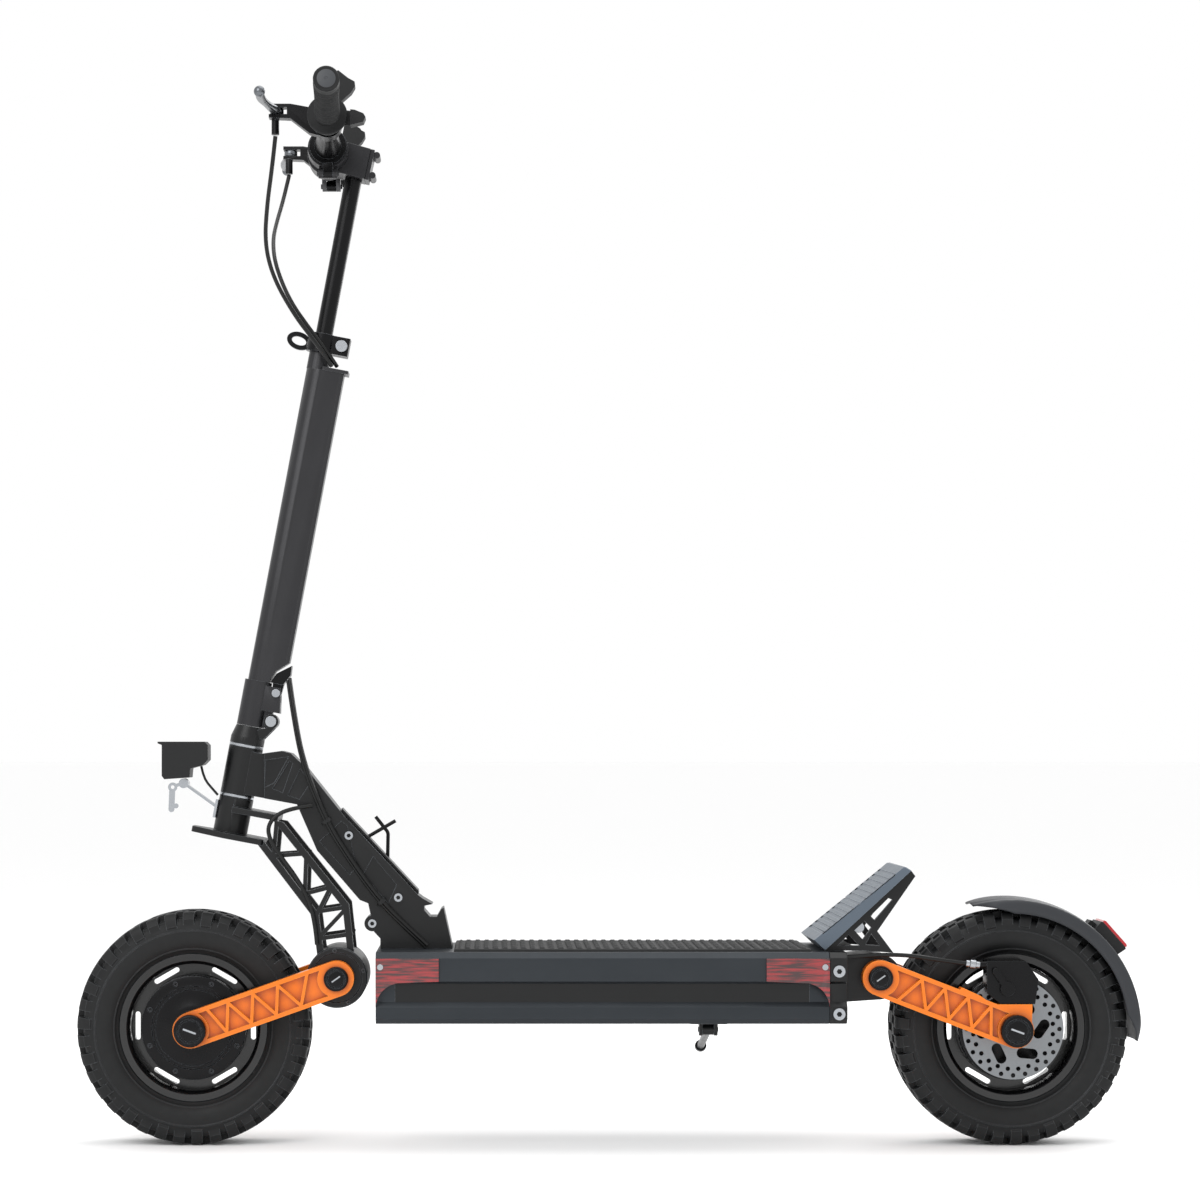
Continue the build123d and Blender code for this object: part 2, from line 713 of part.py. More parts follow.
# ---------------------------------------------------------------- folding joint and stem
EAR_BORE = FOLD_PIN_RADIUS + RUNNING_GAP
with BuildPart() as fold_base:
    with BuildSketch(steer.offset(CONE_BOTTOM)):
        Circle(HEAD_TUBE_RADIUS)
    extrude(amount=8)
    with BuildSketch(steer.offset(CONE_BOTTOM + 8)):
        Circle(HEAD_TUBE_RADIUS)
    with BuildSketch(steer.offset(CONE_TOP)):
        Circle(SLEEVE_RADIUS)
    loft()
    for face in (EAR_INNER, -EAR_OUTER):
        with BuildSketch(steer_side.offset(face)):
            Polygon((6, 44), (19, 42), (FOLD_BACK + EAR_RADIUS - 1, FOLD_HEIGHT - 4), (12, 54), align=None)
            with Locations((FOLD_BACK, FOLD_HEIGHT)):
                Circle(EAR_RADIUS)
                Circle(EAR_BORE, mode=Mode.SUBTRACT)
        extrude(amount=EAR_OUTER - EAR_INNER)
    with BuildSketch(steer.offset(CONE_BOTTOM)):
        Circle(STEERER_RADIUS + RUNNING_GAP)
    extrude(amount=CONE_TOP - 2 + SEAT_GAP - CONE_BOTTOM, mode=Mode.SUBTRACT)
save(fold_base, "fold_base")

with BuildPart() as stem_tube:
    with BuildSketch(steer.offset(SLEEVE_BOTTOM)):
        Circle(SLEEVE_RADIUS)
    extrude(amount=SLEEVE_TOP - SLEEVE_BOTTOM)
    with BuildSketch(steer_side.offset(-EAR_INNER + FREE_GAP)):
        Polygon(
            (4, 58), (12, SLEEVE_BOTTOM + 1), (FOLD_BACK, FOLD_HEIGHT - EAR_RADIUS),
            (FOLD_BACK, 78), (4, 78), align=None,
        )
        with Locations((FOLD_BACK, FOLD_HEIGHT)):
            Circle(EAR_RADIUS)
    extrude(amount=2 * (EAR_INNER - FREE_GAP))
    with BuildSketch(steer_side.offset(-EAR_OUTER + 1)):
        Polygon((4, 77), (33, 77), (28.5, 107), (4, 107), align=None)
    extrude(amount=2 * (EAR_OUTER - 1))
    with BuildSketch(steer_side.offset(-LATCH_SLOT)):
        Polygon((16.8, 90), (40, 90), (40, 112), (16.8, 112), align=None)
    extrude(amount=2 * LATCH_SLOT, mode=Mode.SUBTRACT)
    with BuildSketch(steer.offset(SLEEVE_TOP)):
        with BuildLine():
            ThreePointArc((6, -STEM_HALF_WIDTH), (STEM_FRONT, 0), (6, STEM_HALF_WIDTH))
            Polyline(
                (6, STEM_HALF_WIDTH),
                (STEM_REAR - 4, STEM_HALF_WIDTH),
                (STEM_REAR, STEM_HALF_WIDTH - 4),
                (STEM_REAR, 4 - STEM_HALF_WIDTH),
                (STEM_REAR - 4, -STEM_HALF_WIDTH),
                (6, -STEM_HALF_WIDTH),
            )
        make_face()
    extrude(amount=STEM_TOP - SLEEVE_TOP)
    with BuildSketch(steer_side.offset(-2 * STEM_HALF_WIDTH)):
        Polygon((13, SLEEVE_TOP), (60, SLEEVE_TOP), (60, 150), (STEM_REAR, 139), (18.5, 125.5), align=None)
    extrude(amount=4 * STEM_HALF_WIDTH, mode=Mode.SUBTRACT)
    with BuildSketch(steer.offset(STEM_TOP)):
        Circle(STEM_ROUND_RADIUS)
    extrude(amount=STEM_ROUND_TOP - STEM_TOP)
    with BuildSketch(steer.offset(160)):
        with Locations((22, 0)):
            RectangleRounded(14, 24, 3)
    extrude(amount=STEM_TOP - 160 - 4, mode=Mode.SUBTRACT)
    with BuildSketch(steer.offset(STEM_TOP)):
        with Locations(((5.7 + GUIDE_REAR) / 2, 0)):
            RectangleRounded(GUIDE_REAR - 5.7, 2 * GUIDE_HALF_WIDTH, 3)
    extrude(amount=GUIDE_THICKNESS)
    with BuildSketch(steer.offset(INNER_TUBE_BOTTOM - SLIDE_TRAVEL - 5)):
        Circle(SLIDE_BORE_RADIUS)
    extrude(amount=STEM_ROUND_TOP - INNER_TUBE_BOTTOM + SLIDE_TRAVEL + 5, mode=Mode.SUBTRACT)
    for back, height, bore in (
        (FOLD_BACK, FOLD_HEIGHT, EAR_BORE),
        (LATCH_BACK, LATCH_HEIGHT, LATCH_PIVOT_RADIUS + RUNNING_GAP),
    ):
        with BuildSketch(steer_side.offset(-2 * STEM_HALF_WIDTH)):
            with Locations((back, height)):
                Circle(bore)
        extrude(amount=4 * STEM_HALF_WIDTH, mode=Mode.SUBTRACT)
save(stem_tube, "stem_tube")

lever_wedge = [(14.5, 111.6), (20, 123.5), (36.4, 136), (37.1, 124.3), (31, 113), (31, 111.6)]
with BuildPart() as latch_lever:
    with BuildSketch(steer_side.offset(-11)):
        Polygon(*lever_wedge, align=None)
    extrude(amount=22)
    with BuildSketch(steer_side.offset(-LATCH_SLOT + FREE_GAP)):
        Polygon((18.5, 100), (30, 100), (31, 112), (17.5, 112), align=None)
        with Locations((LATCH_BACK, LATCH_HEIGHT)):
            Circle(6)
            Circle(LATCH_PIVOT_RADIUS + RUNNING_GAP, mode=Mode.SUBTRACT)
    extrude(amount=2 * (LATCH_SLOT - FREE_GAP))
save(latch_lever, "latch_lever")

with BuildPart() as clamp_collar:
    with BuildSketch(steer.offset(COLLAR_BOTTOM)):
        Circle(COLLAR_RADIUS)
        with Locations((SKEWER_BACK - 3, 0)):
            RectangleRounded(24, 2 * COLLAR_EAR_HALF_WIDTH, 3)
        Circle(STEM_ROUND_RADIUS + RUNNING_GAP, mode=Mode.SUBTRACT)
        with Locations((SKEWER_BACK, 0)):
            Rectangle(26, 3, mode=Mode.SUBTRACT)
    extrude(amount=COLLAR_TOP - COLLAR_BOTTOM)
    with BuildSketch(steer_side.offset(-COLLAR_RADIUS)):
        with Locations((SKEWER_BACK, SKEWER_HEIGHT)):
            Circle(SKEWER_RADIUS + RUNNING_GAP)
    extrude(amount=2 * COLLAR_RADIUS, mode=Mode.SUBTRACT)
save(clamp_collar, "clamp_collar")

with BuildPart() as stem_bolts:
    for back, height, radius, head, half in (
        (FOLD_BACK, FOLD_HEIGHT, FOLD_PIN_RADIUS, 6.5, EAR_OUTER),
        (LATCH_BACK, LATCH_HEIGHT, LATCH_PIVOT_RADIUS, 5, EAR_OUTER - 1),
    ):
        with BuildSketch(steer_side.offset(-half)):
            with Locations((back, height)):
                Circle(radius)
        extrude(amount=2 * half)
        for face in (half + FREE_GAP / 2, -half - FREE_GAP / 2 - 3):
            with BuildSketch(steer_side.offset(face)):
                with Locations((back, height)):
                    Circle(head)
            extrude(amount=3)
        with BuildSketch(steer_side.offset(-half - 1)):
            with Locations((back, height)):
                Circle(radius)
        extrude(amount=2 * half + 2)
    with BuildSketch(steer_side.offset(SEAT_GAP - CAM_Y + CAM_RADIUS)):
        with Locations((SKEWER_BACK, SKEWER_HEIGHT)):
            Circle(SKEWER_RADIUS)
    extrude(amount=CAM_Y - CAM_RADIUS + COLLAR_EAR_HALF_WIDTH + 2)
    with BuildSketch(steer_side.offset(COLLAR_EAR_HALF_WIDTH + SEAT_GAP)):
        with Locations((SKEWER_BACK, SKEWER_HEIGHT)):
            Circle(SKEWER_HEAD_RADIUS)
    extrude(amount=SKEWER_HEAD)
save(stem_bolts, "stem_bolts")

with BuildPart() as clamp_lever:
    with BuildSketch(steer_side.offset(-CAM_Y - 5)):
        strut((LOOP_BACK + 8, LOOP_HEIGHT - 3), (SKEWER_BACK, SKEWER_HEIGHT), 9)
        with Locations((LOOP_BACK, LOOP_HEIGHT)):
            Ellipse(15, 10.5, rotation=-10)
            Ellipse(9, 5, rotation=-10, mode=Mode.SUBTRACT)
    extrude(amount=5)
    below_skewer = steer.offset(SKEWER_HEIGHT - 6).origin
    with BuildSketch(Plane(origin=below_skewer, x_dir=steer.x_dir, z_dir=steer.z_dir)):
        with Locations((SKEWER_BACK, CAM_Y)):
            Circle(CAM_RADIUS)
    extrude(amount=12)
save(clamp_lever, "clamp_lever")

# ---------------------------------------------------------------- telescopic tube and handlebar
with BuildPart() as inner_tube:
    with BuildSketch(steer.offset(INNER_TUBE_BOTTOM)):
        Circle(INNER_TUBE_RADIUS)
        Circle(INNER_TUBE_RADIUS - INNER_TUBE_WALL, mode=Mode.SUBTRACT)
    extrude(amount=INNER_TUBE_TOP - INNER_TUBE_BOTTOM)
save(inner_tube, "inner_tube")

clamp_block = [(-335, 1203), (-308, 1197), (-283, 1190), (-291, 1154), (-319, 1161), (-335, 1162)]
clamp_plate = [(-282.9, 1190), (-278.2, 1188.9), (-286.2, 1152.9), (-290.9, 1154)]
with BuildPart() as bar_clamp:
    with BuildSketch(side_plane(-CLAMP_HALF_WIDTH)):
        Polygon(*clamp_block, align=None)
        with Locations((BAR_X, BAR_Z)):
            Circle(KNUCKLE_RADIUS)
            Circle(BAR_ROOT_RADIUS + RUNNING_GAP, mode=Mode.SUBTRACT)
    extrude(amount=2 * CLAMP_HALF_WIDTH)
    with BuildSketch(steer.offset(INNER_TUBE_TOP - 60)):
        Circle(INNER_TUBE_RADIUS + RUNNING_GAP)
    extrude(amount=60 + SEAT_GAP, mode=Mode.SUBTRACT)
    # The polished plate and its two bolts close the back of the clamp.
    with BuildSketch(side_plane(-CLAMP_HALF_WIDTH + 2)):
        Polygon(*clamp_plate, align=None)
    extrude(amount=2 * CLAMP_HALF_WIDTH - 4)
    for bolt in CLAMP_BOLTS:
        with BuildSketch(side_plane(-CLAMP_HALF_WIDTH + 4)):
            with Locations(bolt):
                Circle(4)
        extrude(amount=2 * CLAMP_HALF_WIDTH - 8)
save(bar_clamp, "bar_clamp")


def bar_plane(side, distance=0):
    """Plane square to one handlebar; side is -1 for the left and 1 for the right."""
    direction = Vector(BAR_END_X - BAR_X, side * BAR_HALF_SPAN, BAR_END_Z - BAR_Z).normalized()
    centre = Vector(BAR_X, 0, BAR_Z) + direction * distance
    return Plane(origin=centre, x_dir=(1, 0, 0), z_dir=direction)


with BuildPart() as cross_bar:
    with BuildSketch(side_plane(-CROSS_HALF_LENGTH)):
        with Locations((BAR_X, BAR_Z)):
            Circle(BAR_ROOT_RADIUS)
    extrude(amount=2 * CROSS_HALF_LENGTH)
    for side in (-1, 1):
        with BuildSketch(bar_plane(side, KNUCKLE_START)):
            Circle(KNUCKLE_RADIUS)
        extrude(amount=KNUCKLE_END - KNUCKLE_START)
        for face in (HINGE_X + HINGE_EAR_START, HINGE_X - HINGE_EAR_END):
            with BuildSketch(Plane.YZ.offset(face)):
                Polygon(
                    (side * 28, HINGE_Z + 11),
                    (side * 41, HINGE_Z + 11),
                    (side * (HINGE_Y + 2), HINGE_Z - HINGE_EAR_RADIUS + 0.5),
                    (side * (HINGE_Y - 4), HINGE_Z - HINGE_EAR_RADIUS + 1),
                    (side * 30, HINGE_Z + 2),
                    align=None,
                )
                with Locations((side * HINGE_Y, HINGE_Z)):
                    Circle(HINGE_EAR_RADIUS)
                    Circle(HINGE_PIN_RADIUS, mode=Mode.SUBTRACT)
            extrude(amount=HINGE_EAR_END - HINGE_EAR_START)
        with BuildSketch(Plane.YZ.offset(HINGE_X - HINGE_EAR_END - 2)):
            with Locations((side * HINGE_Y, HINGE_Z)):
                Circle(HINGE_PIN_RADIUS)
        extrude(amount=2 * HINGE_EAR_END + 4)
save(cross_bar, "cross_bar")

for side, word in ((-1, "left"), (1, "right")):
    with BuildPart() as handlebar:
        with BuildSketch(bar_plane(side, BAR_FLANGE_START)):
            Circle(BAR_FLANGE_RADIUS)
        extrude(amount=BAR_FLANGE_END - BAR_FLANGE_START)
        with BuildSketch(bar_plane(side, BAR_FLANGE_END)):
            Circle(BAR_ROOT_RADIUS)
        with BuildSketch(bar_plane(side, TAPER_END)):
            Circle(BAR_RADIUS)
        loft()
        with BuildSketch(bar_plane(side, TAPER_END)):
            Circle(BAR_RADIUS)
        extrude(amount=BAR_HALF_SPAN - 2 - TAPER_END)
        with BuildSketch(bar_plane(side, TAPER_END)):
            Circle(BAR_RADIUS - 2.5)
        extrude(amount=BAR_HALF_SPAN - 2 - TAPER_END, mode=Mode.SUBTRACT)
        with BuildSketch(Plane.YZ.offset(HINGE_X - HINGE_TONGUE)):
            Polygon(
                (side * (HINGE_Y + 0.5), HINGE_Z + 12),
                (side * (HINGE_Y + 6), HINGE_Z + 12),
                (side * (HINGE_Y + 5.5), HINGE_Z - 2),
                (side * (HINGE_Y - 2), HINGE_Z - 1),
                (side * (HINGE_Y + 0.5), HINGE_Z + 5),
                align=None,
            )
            with Locations((side * HINGE_Y, HINGE_Z)):
                Circle(HINGE_EAR_RADIUS)
                Circle(HINGE_PIN_RADIUS + RUNNING_GAP, mode=Mode.SUBTRACT)
        extrude(amount=2 * HINGE_TONGUE)
    save(handlebar, f"handlebar_{word}")

    with BuildPart() as grip:
        with BuildSketch(bar_plane(side, GRIP_START)):
            Circle(GRIP_FLANGE_RADIUS)
        extrude(amount=4)
        with BuildSketch(bar_plane(side, GRIP_START)):
            Circle(GRIP_RADIUS)
        extrude(amount=BAR_HALF_SPAN + 2 - GRIP_START)
        with BuildSketch(bar_plane(side, GRIP_START)):
            Circle(BAR_RADIUS + RUNNING_GAP)
        extrude(amount=BAR_HALF_SPAN - 1.9 - GRIP_START, mode=Mode.SUBTRACT)
    save(grip, f"grip_{word}")

    with BuildPart() as lever_perch:
        with BuildSketch(Plane.XZ.offset(-side * LEVER_PIVOT_Y - PERCH_WIDTH / 2)):
            Polygon((-330, 1181), (-330, 1214), (-350, 1216), (-372, 1220), (-397, 1220), (-397, 1204),
                    (-372, 1203), (-350, 1186), align=None)
        extrude(amount=PERCH_WIDTH)
        with BuildSketch(bar_plane(side, PERCH_PLACE)):
            Circle(BAR_RADIUS + 6)
        extrude(amount=PERCH_WIDTH)
        with BuildSketch(Plane.XZ.offset(-side * LEVER_PIVOT_Y - PERCH_WIDTH)):
            with Locations((-391, LEVER_Z)):
                Rectangle(30, 8)
        extrude(amount=2 * PERCH_WIDTH, mode=Mode.SUBTRACT)
        with BuildSketch(bar_plane(side, PERCH_PLACE - PERCH_WIDTH)):
            Circle(BAR_RADIUS + RUNNING_GAP)
        extrude(amount=3 * PERCH_WIDTH, mode=Mode.SUBTRACT)
        with BuildSketch(Plane.XY.offset(1186)):
            with Locations((-390, side * (LEVER_PIVOT_Y - 4))):
                Circle(4.5)
        extrude(amount=18.5)
        with BuildSketch(Plane.XY.offset(1203)):
            with Locations((LEVER_PIVOT_X, side * LEVER_PIVOT_Y)):
                Circle(2.5)
        extrude(amount=18)
    save(lever_perch, f"lever_perch_{word}")

    with BuildPart() as brake_lever:
        with BuildSketch(Plane.XY.offset(LEVER_Z - 3.6)):
            pivot = (LEVER_PIVOT_X, side * LEVER_PIVOT_Y)
            with Locations(pivot):
                Circle(8)
            strut(pivot, (-393, side * (LEVER_PIVOT_Y + 30)), 11)
            strut((-393, side * (LEVER_PIVOT_Y + 30)), (-401, side * (LEVER_PIVOT_Y + 80)), 10)
            strut((-401, side * (LEVER_PIVOT_Y + 80)), (-400, side * (LEVER_PIVOT_Y + LEVER_REACH)), 10)
            with Locations(pivot):
                Circle(2.5 + RUNNING_GAP, mode=Mode.SUBTRACT)
        extrude(amount=7.2)
        with BuildSketch(Plane.XY.offset(LEVER_Z - 6)):
            with Locations((-400, side * (LEVER_PIVOT_Y + LEVER_REACH))):
                Circle(6.5)
        extrude(amount=12)
    save(brake_lever, f"brake_lever_{word}")

paddle_points = [(-301, 1206.5), (-296, 1206), (-286, 1202), (-283.5, 1198), (-286, 1192), (-301, 1188.5)]
button_plane = Plane(origin=(-306.5, 154.5, 1246.6), x_dir=(0, 1, 0), z_dir=(0.475, 0, 0.88))
pod_points = [
    (-330, 1213), (-322, 1251), (-315.5, 1254.5), (-304, 1245.5), (-296.6, 1241.5), (-296.2, 1236),
    (-300.4, 1229), (-312.3, 1218.5), (-316, 1205),
]
for side, word in ((-1, "control_pod"), (1, "display_pod")):
    with BuildPart() as pod:
        with BuildSketch(Plane.XZ.offset(-side * (POD_PLACE + POD_WIDTH / 2) - POD_WIDTH / 2)):
            Polygon(*pod_points, align=None)
        extrude(amount=POD_WIDTH)
        with BuildSketch(bar_plane(side, POD_PLACE)):
            Circle(BAR_RADIUS + 5)
        extrude(amount=POD_WIDTH - 0.5)
        with BuildSketch(bar_plane(side, POD_PLACE - POD_WIDTH)):
            Circle(BAR_RADIUS + RUNNING_GAP)
        extrude(amount=3 * POD_WIDTH, mode=Mode.SUBTRACT)
        if side == 1:
            # A well in the pod's sloping face holds the power button.
            with BuildSketch(button_plane):
                Circle(BUTTON_RADIUS + FREE_GAP)
            extrude(amount=BUTTON_DEPTH, both=True, mode=Mode.SUBTRACT)
    save(pod, word)

with BuildPart() as power_button:
    with BuildSketch(button_plane.offset(BUTTON_TRAVEL + FREE_GAP - BUTTON_DEPTH)):
        Circle(BUTTON_RADIUS)
    extrude(amount=BUTTON_DEPTH)
save(power_button, "power_button")

left_bar = bar_plane(-1, PADDLE_PLACE)
with BuildPart() as thumb_paddle:
    with BuildSketch(left_bar):
        Circle(BAR_RADIUS + 5)
    extrude(amount=PADDLE_RING_WIDTH)
    with BuildSketch(side_plane(PADDLE_PAD_START)):
        Polygon(*paddle_points, align=None)
    extrude(amount=PADDLE_PAD_WIDTH)
    with BuildSketch(side_plane(PADDLE_ARM_START)):
        Polygon((-330, 1192), (-318, 1208), (-300, 1206.5), (-300, 1189), align=None)
    extrude(amount=PADDLE_ARM_WIDTH)
    with BuildSketch(left_bar.offset(-PADDLE_RING_WIDTH)):
        Circle(BAR_RADIUS + RUNNING_GAP)
    extrude(amount=4 * PADDLE_RING_WIDTH, mode=Mode.SUBTRACT)
save(thumb_paddle, "thumb_paddle")

# ---------------------------------------------------------------- wheels
def radial_plane(x):
    """Plane through a wheel's axle, with its first axis pointing up and its second along the axle."""
    return Plane(origin=(x, 0, AXLE_Z), x_dir=(0, 0, 1), z_dir=(-1, 0, 0))


for x, word in ((FRONT_AXLE_X, "front"), (REAR_AXLE_X, "rear")):
    axle_line = Axis((x, 0, AXLE_Z), (0, 1, 0))
    with BuildPart() as tyre:
        with BuildSketch(radial_plane(x)):
            with BuildLine():
                ThreePointArc((139, 36), (WHEEL_RADIUS, 0), (139, -36))
                Line((139, -36), (131, -41.5))
                ThreePointArc((131, -41.5), (112, -TYRE_HALF_WIDTH), (BEAD_RADIUS + 4.5, -33))
                Polyline(
                    (BEAD_RADIUS + 4.5, -33),
                    (BEAD_RADIUS + 4.5, -BEAD_HALF_WIDTH),
                    (BEAD_RADIUS + 0.1, -BEAD_HALF_WIDTH),
                    (BEAD_RADIUS + 0.1, -22),
                )
                ThreePointArc((BEAD_RADIUS + 0.1, -22), (108, -36), (127, -31))
                ThreePointArc((127, -31), (129, 0), (127, 31))
                ThreePointArc((127, 31), (108, 36), (BEAD_RADIUS + 0.1, 22))
                Polyline(
                    (BEAD_RADIUS + 0.1, 22),
                    (BEAD_RADIUS + 0.1, BEAD_HALF_WIDTH),
                    (BEAD_RADIUS + 4.5, BEAD_HALF_WIDTH),
                    (BEAD_RADIUS + 4.5, 33),
                )
                ThreePointArc((BEAD_RADIUS + 4.5, 33), (112, TYRE_HALF_WIDTH), (131, 41.5))
                Line((131, 41.5), (139, 36))
            make_face()
        revolve(axis=axle_line)
    save(tyre, f"{word}_tyre")

    flange = BEAD_HALF_WIDTH + 0.3
    with BuildPart() as rim:
        with BuildSketch(radial_plane(x)):
            Polygon(
                (RIM_LIP, flange + RIM_WALL),
                (RIM_LIP, flange),
                (BEAD_RADIUS, flange),
                (BEAD_RADIUS, 21),
                (BEAD_RADIUS - RIM_WALL, 17),
                (BEAD_RADIUS - RIM_WALL, -17),
                (BEAD_RADIUS, -21),
                (BEAD_RADIUS, -flange),
                (RIM_LIP, -flange),
                (RIM_LIP, -flange - RIM_WALL),
                (BEAD_RADIUS - RIM_WALL, -flange - RIM_WALL),
                (BEAD_RADIUS - 2 * RIM_WALL, -flange),
                (BEAD_RADIUS - 2 * RIM_WALL, -WEB_HALF_THICKNESS),
                (HUB_RADIUS, -WEB_HALF_THICKNESS),
                (HUB_RADIUS, -HUB_HALF_WIDTH),
                (HUB_RADIUS - HUB_WALL, -HUB_HALF_WIDTH),
                (HUB_RADIUS - HUB_WALL, HUB_HALF_WIDTH),
                (HUB_RADIUS, HUB_HALF_WIDTH),
                (HUB_RADIUS, WEB_HALF_THICKNESS),
                (BEAD_RADIUS - 2 * RIM_WALL, WEB_HALF_THICKNESS),
                (BEAD_RADIUS - 2 * RIM_WALL, flange),
                (BEAD_RADIUS - RIM_WALL, flange + RIM_WALL),
                align=None,
            )
        revolve(axis=axle_line)
        with BuildSketch(wheel_plane(x, -2 * WEB_HALF_THICKNESS)):
            with PolarLocations((HUB_RADIUS + BEAD_RADIUS - 2 * RIM_WALL) / 2, WEB_SLOTS):
                SlotOverall(WEB_SLOT_LENGTH, WEB_SLOT_WIDTH, rotation=90)
        extrude(amount=4 * WEB_HALF_THICKNESS, mode=Mode.SUBTRACT)
    save(rim, f"{word}_rim")

    with BuildPart() as motor_cover:
        for face, boss_face in (
            (HUB_HALF_WIDTH, HUB_HALF_WIDTH + COVER_THICKNESS),
            (-HUB_HALF_WIDTH - COVER_THICKNESS, -HUB_HALF_WIDTH - COVER_THICKNESS - COVER_BOSS),
        ):
            with BuildSketch(wheel_plane(x, face)):
                Circle(HUB_RADIUS - SEAT_GAP)
                Circle(AXLE_STEP_RADIUS + 1, mode=Mode.SUBTRACT)
            extrude(amount=COVER_THICKNESS)
            with BuildSketch(wheel_plane(x, boss_face)):
                Circle(20)
                Circle(AXLE_STEP_RADIUS + 1, mode=Mode.SUBTRACT)
            extrude(amount=COVER_BOSS)
        for face, ring in ((HUB_HALF_WIDTH - 8, 1), (-HUB_HALF_WIDTH, 1)):
            # Bearing seat inside each cover, running on the axle.
            with BuildSketch(wheel_plane(x, face)):
                Circle(18)
                Circle(AXLE_RADIUS + RUNNING_GAP, mode=Mode.SUBTRACT)
            extrude(amount=8)
    save(motor_cover, f"{word}_motor_covers")

with BuildPart() as brake_disc:
    with BuildSketch(wheel_plane(REAR_AXLE_X, DISC_Y)):
        Circle(DISC_RADIUS)
        with PolarLocations(DISC_RADIUS - DISC_HOLE_INSET, DISC_HOLES):
            Circle(DISC_HOLE_RADIUS, mode=Mode.SUBTRACT)
        inner_row = DISC_RADIUS - DISC_HOLE_INSET - DISC_HOLE_ROW
        with PolarLocations(inner_row, DISC_HOLES, start_angle=180 / DISC_HOLES):
            Circle(DISC_HOLE_RADIUS, mode=Mode.SUBTRACT)
        with PolarLocations(DISC_WINDOW_PLACE, DISC_SPOKES):
            SlotOverall(DISC_WINDOW_LENGTH, DISC_WINDOW_WIDTH, rotation=DISC_WINDOW_LEAN, mode=Mode.SUBTRACT)
        Circle(AXLE_STEP_RADIUS + 1, mode=Mode.SUBTRACT)
    extrude(amount=DISC_THICKNESS)
    with BuildSketch(wheel_plane(REAR_AXLE_X, HUB_HALF_WIDTH + COVER_THICKNESS + COVER_BOSS)):
        Circle(DISC_BOSS_RADIUS)
        Circle(AXLE_STEP_RADIUS + 1, mode=Mode.SUBTRACT)
    extrude(amount=DISC_Y - HUB_HALF_WIDTH - COVER_THICKNESS - COVER_BOSS)
save(brake_disc, "brake_disc")

# ---------------------------------------------------------------- swing arms and axles
caliper_lug = [(455, 160), (459, CALIPER_SEAT), (499, CALIPER_SEAT), (498.5, 149), (480, 145)]
hose_lug = [(405, 178), (416, 191), (438, 181), (449, 173), (440, 165)]
for pivot, axle_x, word in ((FRONT_PIVOT, FRONT_AXLE_X, "front"), (REAR_PIVOT, REAR_AXLE_X, "rear")):
    axle = (axle_x, AXLE_Z)
    with BuildPart() as arms:
        for face in (ARM_INNER, -ARM_INNER - ARM_THICKNESS):
            with BuildSketch(side_plane(face)) as outline:
                with Locations(pivot, axle):
                    Circle(ARM_END_RADIUS)
                make_hull()
                if word == "rear" and face > 0:
                    Polygon(*caliper_lug, align=None)
                    Polygon(*hose_lug, align=None)
            extrude(amount=ARM_THICKNESS)
        for face in (ARM_INNER + ARM_THICKNESS - ARM_POCKET_DEPTH, -ARM_INNER - ARM_THICKNESS):
            with BuildSketch(side_plane(face)):
                with Locations(pivot, axle):
                    Circle(ARM_END_RADIUS - ARM_RIM)
                make_hull()
                with Locations(pivot, axle):
                    Circle(ARM_END_RADIUS + 1, mode=Mode.SUBTRACT)
                with BuildSketch(mode=Mode.PRIVATE) as ribs:
                    length = math.dist(pivot, axle)
                    across = ((axle[1] - pivot[1]) / length, (pivot[0] - axle[0]) / length)
                    reach = ARM_END_RADIUS - ARM_RIM
                    sign = 1
                    for near, far in zip(arm_rib_places, arm_rib_places[1:]):
                        low = on_line(pivot, axle, near)
                        high = on_line(pivot, axle, far)
                        start = (low[0] + sign * reach * across[0], low[1] + sign * reach * across[1])
                        end = (high[0] - sign * reach * across[0], high[1] - sign * reach * across[1])
                        strut(start, end, ARM_RIB)
                        sign = -sign
                add(ribs.sketch, mode=Mode.SUBTRACT)
            extrude(amount=ARM_POCKET_DEPTH, mode=Mode.SUBTRACT)
        for place, bore in ((pivot, PIVOT_SHAFT_RADIUS), (axle, AXLE_RADIUS)):
            with BuildSketch(side_plane(-2 * ARM_INNER)):
                with Locations(place):
                    Circle(bore + RUNNING_GAP)
            extrude(amount=4 * ARM_INNER, mode=Mode.SUBTRACT)
    save(arms, f"{word}_swing_arms")

    outer = ARM_INNER + ARM_THICKNESS
    with BuildPart() as shafts:
        for place, radius in ((pivot, PIVOT_SHAFT_RADIUS), (axle, AXLE_RADIUS)):
            with BuildSketch(side_plane(-outer)):
                with Locations(place):
                    Circle(radius)
            extrude(amount=2 * outer)
        # Steps on the axle hold the wheel midway between the arms.
        step_start = HUB_HALF_WIDTH + FREE_GAP
        for face in (step_start, -ARM_INNER + FREE_GAP):
            with BuildSketch(side_plane(face)):
                with Locations(axle):
                    Circle(AXLE_STEP_RADIUS)
            extrude(amount=ARM_INNER - FREE_GAP - step_start)
        # The stator is pressed on the axle.
        with BuildSketch(side_plane(-STATOR_HALF_WIDTH)):
            with Locations(axle):
                Circle(STATOR_RADIUS)
                with PolarLocations(STATOR_RADIUS - 8, 18):
                    SlotOverall(10, 4, mode=Mode.SUBTRACT)
        extrude(amount=2 * STATOR_HALF_WIDTH)
        for place, radius, height in (
            (pivot, PIVOT_CAP_RADIUS, CAP_HEIGHT),
            (axle, AXLE_CAP_RADIUS, AXLE_CAP_HEIGHT),
        ):
            for face in (outer + SEAT_GAP / 2, -outer - SEAT_GAP / 2 - height):
                with BuildSketch(side_plane(face)):
                    with Locations(place):
                        Circle(radius)
                extrude(amount=height)
    save(shafts, f"{word}_shafts")

